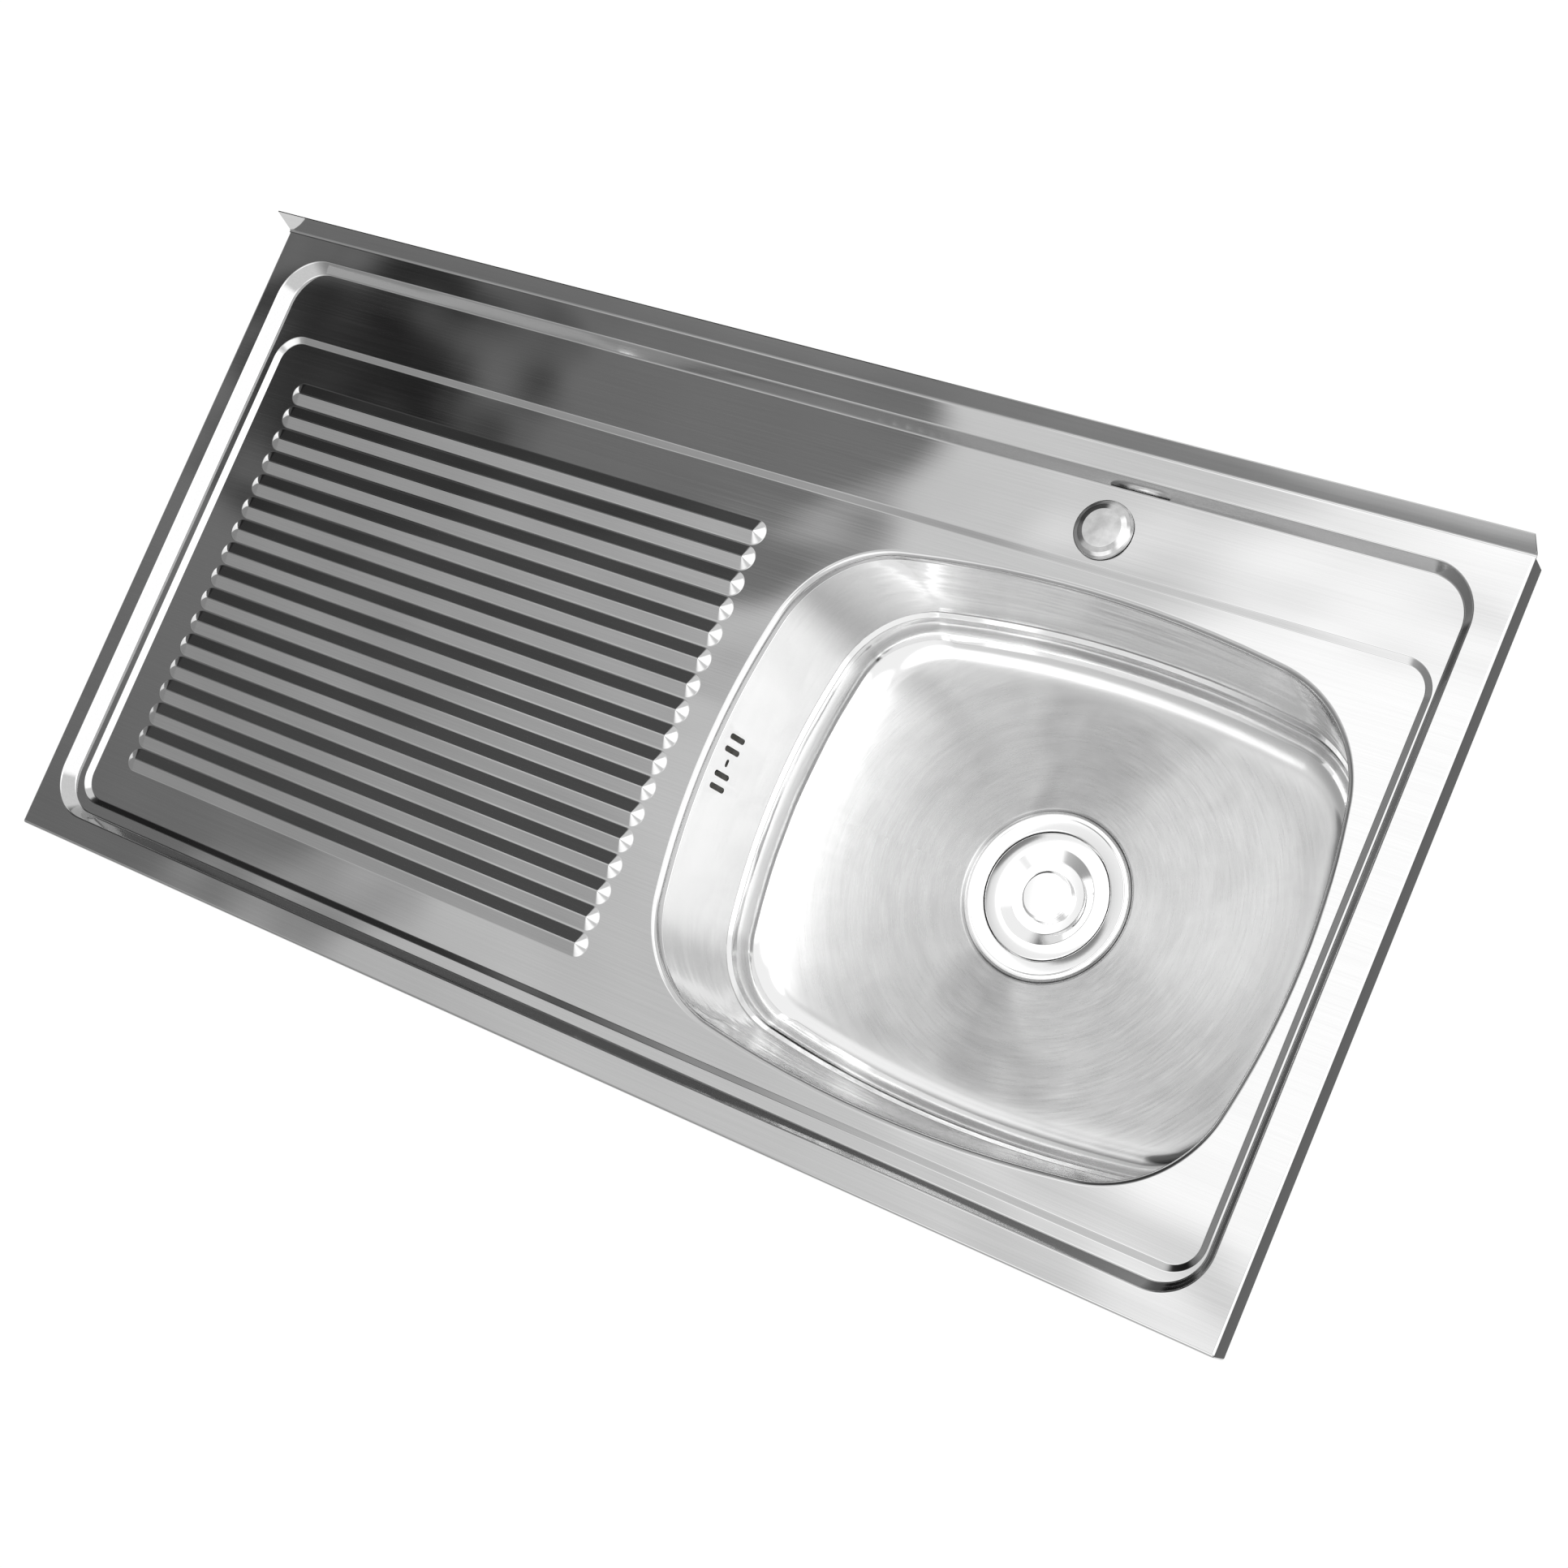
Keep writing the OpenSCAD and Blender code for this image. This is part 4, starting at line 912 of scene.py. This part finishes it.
# The waste's rubber: a thin ring under the flange, a thick one under the bowl, and the basket's
# plug ring.
flange_ring = turned("flange_ring_seal", ring_outline(46.5, 53.5, 0, 1, 0.3), waste_at)
bowl_ring = turned("bowl_ring_seal", ring_outline(46.5, 57.5, -3.8, -0.8, 0.8), waste_at)
plug_ring = turned("basket_plug_ring", rounded([
    (27, -38, 0), (30.6, -38, 1.5), (30.6, -33.5, 1.5), (25.6, -33.5, 0.3), (25.6, -38, 0.3),
    (27, -38, 0)], 5), waste_at)
for piece, node, body in (
        (flange_ring, "flange_gasket", "sink"), (bowl_ring, "lower_gasket", "sink"),
        (plug_ring, "basket_seal", "basket_body")):
    settle(piece)
    put(piece, rubber, node, body)

# The strainer basket. It is drawn from thin sheet, with sixteen slits round its wall and twenty
# round holes in its floor, and a turned finger post is riveted through its middle. Each cutter
# reaches through both sides and makes two slits.
CUTTER_REACH = 48
SLITS = 16
SLIT_L = 10
SLIT_W = 2.5
SLIT_Z = -16
basket = turned("strainer_basket", rounded([
    (44.2, -5.2, 0), (39.2, -5.2, 1.2), (38.4, -24, 1.5), (24.75, -31, 1.5), (24.75, -38, 0.9),
    (3.05, -38, 0)]), waste_at)
face_up(basket)
thicken(basket, PRESS)
for k in range(SLITS // 2):
    cutter = plate(
        "slit_cutter", (-SLIT_L / 2, -SLIT_W / 2, SLIT_L / 2, SLIT_W / 2), -CUTTER_REACH,
        SLIT_W / 2 - ROUND_END_GAP, 6)
    raise_block(2 * CUTTER_REACH)
    turn_to(cutter, (0, 0, 0), (0, pi / 2, 0))
    turn_to(cutter, (BOWL_X, BOWL_Y, SEAT_Z + SLIT_Z), (0, 0, 2 * pi * k / SLITS))
    combine(basket, cutter)

drain_holes(basket, 20.75, 2, -38)
settle(basket)
post = turned("basket_finger_post", rounded([
    (0, -39.8, 0), (4.6, -39.8, 0.4), (5, -38.8, 0), (3, -38.8, 0), (3, -38, 0), (6, -38, 0.2),
    (5, -36.5, 0.8), (3, -35.5, 1.2), (3, -21, 1.5), (6.5, -19.5, 1), (7.5, -18, 1),
    (7.5, -15, 1.2), (6, -13.5, 1), (0, -13, 0)]), waste_at, 64)
settle(post)
put(basket, bright_steel, "basket", "basket_body")
put(post, bright_steel, "basket_post", "basket_body")

# The two screws: one holds the knob to the lid, and a long one pulls the cup and the body
# together through a brass insert in the body's boss.
DRIVE_SLOT = (-2.2, -0.4, 2.2, 0.4)
DRIVE_SLOT_Z = -6.6
DRIVE_SLOT_TURN = 0.4
SOCKET_R = 2
SOCKET_Z = -43
small_screw = turned("lid_knob_screw", [
    (0, -5.8), (3, -5.8), (3.7, -5.4), (4, -4.8), (4, -3.8),
    *thread_outline(2, -3.8, 0.2)[1:], (0, 0.2)], waste_at, 48)
drive_slot = plate("drive_slot", DRIVE_SLOT, DRIVE_SLOT_Z)
raise_block(2)
turn_to(drive_slot, waste_at, (0, 0, DRIVE_SLOT_TURN))
combine(small_screw, drive_slot)
settle(small_screw)
long_screw = turned("waste_centre_screw", [
    *thread_outline(3, -58.99, -44.8), (3, -44.6), (3, -44), (6.5, -44), (6.5, -42.2),
    (6.1, -41.4), (5.2, -41), (0, -41)], waste_at, 64)
socket = disc("socket", BOWL_X, BOWL_Y, SEAT_Z + SOCKET_Z, SOCKET_R, 6)
raise_block(4)
combine(long_screw, socket)
settle(long_screw)
insert = turned("boss_insert", ring_outline(3.05, 4.5, -59.8, -44.9, 0.3), waste_at, 48)
settle(insert)

# Brass, turned and left to dull: a warm yellow with soft darker clouds.
BRASS_CLOUD_MM = 4
brass, tree = new_material("turned_brass")
place = add(tree, "TexCoord").outputs["Object"]
clouds = add(tree, "TexNoise", {"Vector": place, "Scale": 1000 / BRASS_CLOUD_MM, "Detail": 3.0})
gloss = add(tree, "MapRange", {"Value": clouds, "To Min": 0.2, "To Max": 0.42})
tint = add(tree, "Mix", {0: clouds, 6: colour("B08D45"), 7: colour("D8BC74")}, data_type="RGBA")
shader = add(tree, "BsdfPrincipled", {
    "Base Color": tint.outputs[2], "Metallic": 1.0, "Roughness": gloss})
finish_material(tree, shader)
put(small_screw, zinc, "lid_screw", "lid_body")
put(long_screw, zinc, "waste_screw")
put(insert, brass, "screw_insert")

# The waste body. It is moulded in white plastic: a bowl with a top flange, a sloping floor to the
# outlet spigot, a boss on four ribs for the screw, and the overflow's inlet on its left side.
BODY_WALL_R = 47.6
BODY_RIB_T = 3
BODY_RIB_Z = -54
BODY_RIB_H = 5.2
BOSS_BORE = 4.55
INLET_DROP = 42
INLET_TIP = 65.6
SPIGOT_R = 12.4
SPIGOT_BORE = 9
body = turned("waste_bowl_body", rounded([
    (52, -3.8, 0), (57.5, -3.8, 0.5), (57.5, -7.8, 0.8), (49.6, -7.8, 1), (49.6, -58, 4),
    (23.9, -72, 3), (23.9, -94, 0.8), (19.5, -94, 0.5), (19.5, -69, 3), (46.6, -55, 4),
    (46.6, -3.8, 0.5), (52, -3.8, 0)]), (0, 0, 0), 128)
boss = turned("boss", rounded([
    (0, -59.8, 0), (8, -59.8, 0.6), (8, -44.8, 0.6), (0, -44.8, 0)]), (0, 0, 0), 48)
for turn in (pi / 4, -pi / 4):
    bar = plate(
        "rib_bar", (-BODY_WALL_R, -BODY_RIB_T / 2, BODY_WALL_R, BODY_RIB_T / 2), BODY_RIB_Z)
    raise_block(BODY_RIB_H)
    turn_to(bar, (0, 0, 0), (0, 0, turn))
    combine(boss, bar, "UNION")
combine(body, boss, "UNION")
inlet = turned("inlet", rounded([
    (0, BODY_WALL_R, 0), (SPIGOT_R, BODY_WALL_R, 0), (SPIGOT_R, INLET_TIP, 0.5),
    (0, INLET_TIP, 0)]), (0, 0, 0), 64)
turn_to(inlet, (0, 0, -INLET_DROP), (0, -pi / 2, 0))
combine(body, inlet, "UNION")
for radius, low, high, height, rotation in (
        (SPIGOT_BORE, 43.6, 70, -INLET_DROP, (0, -pi / 2, 0)),
        (BOSS_BORE, -60.8, -43.8, 0, (0, 0, 0))):
    bore = turned("bore", [(0, low), (radius, low), (radius, high), (0, high)], (0, 0, 0), 64)
    turn_to(bore, (0, 0, height), rotation)
    combine(body, bore)
turn_to(body, waste_at)
settle(body)

# White polypropylene as it leaves the mould: a warm white, faintly translucent look with a fine
# spark-eroded grain, drawn a little coarser than it is.
MOULD_MM = 0.5
FLOW_MM = 35
white_plastic, tree = new_material("white_polypropylene")
place = add(tree, "TexCoord").outputs["Object"]
specks = add(tree, "TexNoise", {"Vector": place, "Scale": 1000 / MOULD_MM, "Detail": 2.0})
flow = add(tree, "TexNoise", {"Vector": place, "Scale": 1000 / FLOW_MM, "Detail": 3.0})
tint = add(tree, "Mix", {0: flow, 6: colour("DEDDD8"), 7: colour("EBEAE6")}, data_type="RGBA")
gloss = add(tree, "MapRange", {"Value": flow, "To Min": 0.32, "To Max": 0.46})
grain = add(tree, "Bump", {"Height": specks, "Strength": 0.25, "Distance": 0.00004})
shader = add(tree, "BsdfPrincipled", {
    "Base Color": tint.outputs[2], "Roughness": gloss, "Normal": grain})
finish_material(tree, shader)
put(body, white_plastic, "waste_body")

# The overflow: a foam frame and a plastic box against the bowl's wall, then a ribbed hose down to
# the waste body, held at each end by a union nut over a rubber washer.
BOX_SPIGOT = (508.24, BOWL_Y, -71)
INLET_END = (BOWL_X - INLET_TIP, BOWL_Y, SEAT_Z - INLET_DROP)
MOULDED_JOIN_M = 0.00001
BOX_EDGE_M = 0.0006
FOAM_EDGE_M = 0.0003


def moulded_copy(node, name, edge):
    """A copy of a CAD node's mesh, in metres, merged and with its edges rounded."""
    source = bpy.data.objects[node]
    piece = bpy.data.objects.new(name, source.data.copy())
    bpy.context.collection.objects.link(piece)
    piece.data.name = name
    piece.data.transform(source.matrix_world)
    edit(piece)
    merge(MOULDED_JOIN_M)
    bpy.ops.mesh.dissolve_limited(angle_limit=radians(1))
    close_edit()
    soften(piece, edge)
    bpy.ops.object.shade_smooth_by_angle(angle=radians(35))
    return piece


box = moulded_copy("overflow_box", "overflow_collector_box", BOX_EDGE_M)
put(box, white_plastic, "overflow_box")
foam_frame = moulded_copy("overflow_gasket", "overflow_foam_frame", FOAM_EDGE_M)

# Foam rubber, cut from a sheet with open cells: deep black, with a pitted dull face, and painted
# shade in its pits.
CELL_MM = 0.9
foam, tree = new_material("black_foam_rubber")
place = add(tree, "TexCoord").outputs["Object"]
cells = add(tree, "TexVoronoi", {"Vector": place, "Scale": 1000 / CELL_MM})
# painted shade: the pits are painted darker than the cell walls round them, from the same cells as
# the bump
tint = add(tree, "MapRange", {"Value": cells, "To Min": 0.008, "To Max": 0.03})
pores = add(tree, "Bump", {"Height": cells, "Strength": 0.8, "Distance": 0.0003})
shader = add(tree, "BsdfPrincipled", {"Base Color": tint, "Roughness": 0.85, "Normal": pores})
finish_material(tree, shader)
put(foam_frame, foam, "overflow_gasket")

for node, at, rotation in (
        ("box_nut", BOX_SPIGOT, (pi, 0, 0)), ("waste_nut", INLET_END, (0, -pi / 2, 0))):
    nut = turned(f"union_{node}", [
        (0, -12), (14.8, -12), (16, -11), (16, 5), (14.8, 6), (0, 6)], (0, 0, 0), 12)
    soften(nut, 0.7, 20)
    hole = turned("nut_hole", [
        (0, -14), (12.5, -14), (12.5, 4.2), (10.6, 4.2), (10.6, 8), (0, 8)], (0, 0, 0), 64)
    combine(nut, hole)
    turn_to(nut, at, rotation)
    settle(nut, 30)
    put(nut, white_plastic, node)

WASHER_T = 2
washers = []
for at, rotation in ((BOX_SPIGOT, (pi, 0, 0)), (INLET_END, (0, -pi / 2, 0))):
    washer = turned(
        "union_washers", ring_outline(SPIGOT_BORE, 12, 0, WASHER_T, 0.4), (0, 0, 0), 64)
    turn_to(washer, at, rotation)
    washers.append(washer)
washers = join(*washers)
settle(washers)
put(washers, rubber, "hose_washers")

# the hose, turned straight and then bent along its route
HOSE_R = 10
BORE_STEPS = 60
HOSE_VALLEY = 1.5
HOSE_BORE = 7.5
HOSE_PITCH = 4
HOSE_LEAD = 20
HOSE_BEND_R = 83
HOSE_RUN = 82.06
COLLAR_R = 12.2
COLLAR_T = 2
COLLAR_FOOT = 0.2
COLLAR_GAP = 1.5
ARC_HANDLE = 0.5523
STRAIGHT_HANDLE = 5
hose_l = HOSE_LEAD + HOSE_BEND_R * pi / 2 + HOSE_RUN
ribs_start = COLLAR_T + COLLAR_GAP
rib_count = round((hose_l - 2 * ribs_start) / HOSE_PITCH)
rib_pitch = (hose_l - 2 * ribs_start) / rib_count
line = [(HOSE_BORE, 0), (COLLAR_R, 0), (COLLAR_R, COLLAR_T),
        (HOSE_R - HOSE_VALLEY, COLLAR_T + COLLAR_FOOT)]
for k in range(rib_count):
    for share, height in (
            (0.15, 0), (0.3, 0.75), (0.42, 0.97), (0.58, 0.97), (0.7, 0.75), (0.85, 0)):
        line.append((HOSE_R - HOSE_VALLEY * (1 - height), ribs_start + (k + share) * rib_pitch))
line += [(HOSE_R - HOSE_VALLEY, hose_l - COLLAR_T - COLLAR_FOOT),
         (COLLAR_R, hose_l - COLLAR_T), (COLLAR_R, hose_l)]
line += [(HOSE_BORE, hose_l * (BORE_STEPS - k) / BORE_STEPS) for k in range(BORE_STEPS)]
hose = turned("ribbed_overflow_hose", line, (0, 0, 0), 40, True)
turn_to(hose, (0, 0, 0), (0, pi / 2, 0))
deselect()
bpy.ops.curve.primitive_bezier_curve_add()
route = bpy.context.object
spline = route.data.splines[0]
spline.bezier_points.add(2)
spline.resolution_u = 48
top = Vector(BOX_SPIGOT) - Vector((0, 0, WASHER_T))
low = top - Vector((0, 0, HOSE_LEAD))
turned_end = low + Vector((HOSE_BEND_R, 0, -HOSE_BEND_R))
far = turned_end + Vector((HOSE_RUN, 0, 0))
handle = HOSE_BEND_R * ARC_HANDLE
down, ahead = Vector((0, 0, -1)), Vector((1, 0, 0))
for point, at, way, before, after in zip(
        spline.bezier_points, (top, low, turned_end, far), (down, down, ahead, ahead),
        (STRAIGHT_HANDLE, STRAIGHT_HANDLE, handle, STRAIGHT_HANDLE),
        (STRAIGHT_HANDLE, handle, STRAIGHT_HANDLE, STRAIGHT_HANDLE)):
    point.co = at
    point.handle_left_type = point.handle_right_type = "FREE"
    point.handle_left = at - way * before
    point.handle_right = at + way * after
modifier = hose.modifiers.new("route", "CURVE")
modifier.object = route
modifier.deform_axis = "POS_X"
apply(hose, modifier)
bpy.data.objects.remove(route)
settle(hose)

# Grey polyethylene, blown in a ribbed mould: smooth and waxy, with broad faint drifts of tone.
HOSE_FLOW_MM = 20
grey_plastic, tree = new_material("grey_polyethylene")
place = add(tree, "TexCoord").outputs["Object"]
flow = add(tree, "TexNoise", {"Vector": place, "Scale": 1000 / HOSE_FLOW_MM, "Detail": 3.0})
tint = add(tree, "Mix", {0: flow, 6: colour("85878B"), 7: colour("94969A")}, data_type="RGBA")
gloss = add(tree, "MapRange", {"Value": flow, "To Min": 0.38, "To Max": 0.52})
shader = add(tree, "BsdfPrincipled", {"Base Color": tint.outputs[2], "Roughness": gloss})
finish_material(tree, shader)
put(hose, grey_plastic, "overflow_hose")

# The stage: white studio paper well below the sink. It ends under the camera, as a paper roll does.
# Cameras, metal and glass see it white, and a share of plain paper in it keeps the shadow. From
# below it is clear, so that the sink's underside can be looked at.
PAPER_SIZE = (7.7, 9)
PAPER_AT = (-3.15, 0.25, -0.9)
PAPER_WHITE = 1.04
PAPER_LIT_SHARE = 0.8
deselect()
bpy.ops.mesh.primitive_plane_add(size=1)
floor = called("studio_floor")
floor.scale = (*PAPER_SIZE, 1)
floor.location = PAPER_AT
bpy.ops.object.transform_apply()
paper, tree = new_material("white_studio_paper")
matt = add(tree, "BsdfDiffuse", {"Color": colour("F4F4F4")})
lit_white = add(tree, "Emission", {"Color": colour("FFFFFF"), "Strength": PAPER_WHITE})
rays = add(tree, "LightPath")
seen = add(tree, "Math", {
    0: rays.outputs["Is Camera Ray"], 1: rays.outputs["Is Glossy Ray"]}, operation="ADD")
seen = add(tree, "Math", {0: seen, 1: rays.outputs["Is Transmission Ray"]}, operation="ADD")
white_share = add(tree, "Math", {0: seen, 1: PAPER_LIT_SHARE}, operation="MULTIPLY")
sheet_paper = add(tree, "MixShader", {0: white_share, 1: matt, 2: lit_white})
from_below = add(tree, "NewGeometry").outputs["Backfacing"]
shader = add(tree, "MixShader", {0: from_below, 1: sheet_paper, 2: add(tree, "BsdfTransparent")})
finish_material(tree, shader)
wear(floor, paper)

# The studio's light comes from the room itself. Metal mirrors a room at a plain level, with six
# light screens above and beside the sink, most at its right end, and seven dark parts, most beyond
# its left end. Matt surfaces are lit at a plain level too, and less from below.
MIRRORED_LEVEL = 1.0
MATT_LEVEL = 1.1
GROUND = (0, -90, 60, 120)
GROUND_SHADE = 0.45
# azimuth, elevation, inner and outer angle in degrees, and the light it adds
LIGHT_SCREENS = (
    (150.2, 73.3, 5.6, 12.5, 0.75), (38.1, 78, 7, 14.5, 1.15), (82, 66, 8, 15, 1),
    (4.1, 20.6, 10.5, 25.4, 0.8), (12, 58, 9, 30, 1.25), (259, 56, 14, 24, 0.8))
# the same, and the share of light it takes away
DARK_PARTS = (
    (144.2, 34.1, 13, 20.1, 0.89), (165.3, 47.4, 1, 4.4, 0.82), (158.3, 51.6, 5, 7.9, 0.72),
    (176, 41.6, 7.7, 13.8, 0.63), (201, -1.8, 28.9, 73.3, 0.61), (136.7, -1, 22, 40.5, 0.82),
    (0, -81, 70, 98, 0.8))
world = bpy.data.worlds.new("studio")
bpy.context.scene.world = world
world.use_nodes = True
world.cycles.sampling_method = "NONE"
tree = world.node_tree
tree.nodes.clear()
way = add(tree, "TexCoord").outputs["Generated"]


def towards(azimuth, elevation, inner, outer):
    """A soft round patch of the studio: 1 within inner degrees of a direction, 0 past outer."""
    a, e = radians(azimuth), radians(elevation)
    aim = (cos(e) * cos(a), cos(e) * sin(a), sin(e))
    near = add(tree, "VectorMath", {0: way, 1: aim}, operation="DOT_PRODUCT").outputs["Value"]
    return add(tree, "MapRange", {
        "Value": near, "From Min": cos(radians(outer)), "From Max": cos(radians(inner))},
        interpolation_type="SMOOTHSTEP")


def darken(level, patch, depth):
    """The level so far, with a dark part of the studio taken out of it."""
    kept = add(tree, "Math", {0: patch, 1: -depth, 2: 1.0}, operation="MULTIPLY_ADD")
    return add(tree, "Math", {0: level, 1: kept}, operation="MULTIPLY")


mirrored = add(tree, "Value")
mirrored.outputs[0].default_value = MIRRORED_LEVEL
for *patch, gain in LIGHT_SCREENS:
    mirrored = add(tree, "Math", {
        0: towards(*patch), 1: gain, 2: mirrored}, operation="MULTIPLY_ADD")
for *patch, depth in DARK_PARTS:
    mirrored = darken(mirrored, towards(*patch), depth)
matt_light = add(tree, "Value")
matt_light.outputs[0].default_value = MATT_LEVEL
matt_light = darken(matt_light, towards(*GROUND), GROUND_SHADE)
rays = add(tree, "LightPath")
strength = add(tree, "Mix", {
    0: rays.outputs["Is Diffuse Ray"], 2: mirrored, 3: matt_light}, data_type="FLOAT")
strength = add(tree, "Mix", {
    0: rays.outputs["Is Camera Ray"], 2: strength, 3: 1.0}, data_type="FLOAT")
background = add(tree, "Background", {"Color": colour("FFFFFF"), "Strength": strength})
output = add(tree, "OutputWorld")
tree.links.new(background.outputs[0], output.inputs["Surface"])

bpy.context.scene.view_settings.view_transform = "Standard"
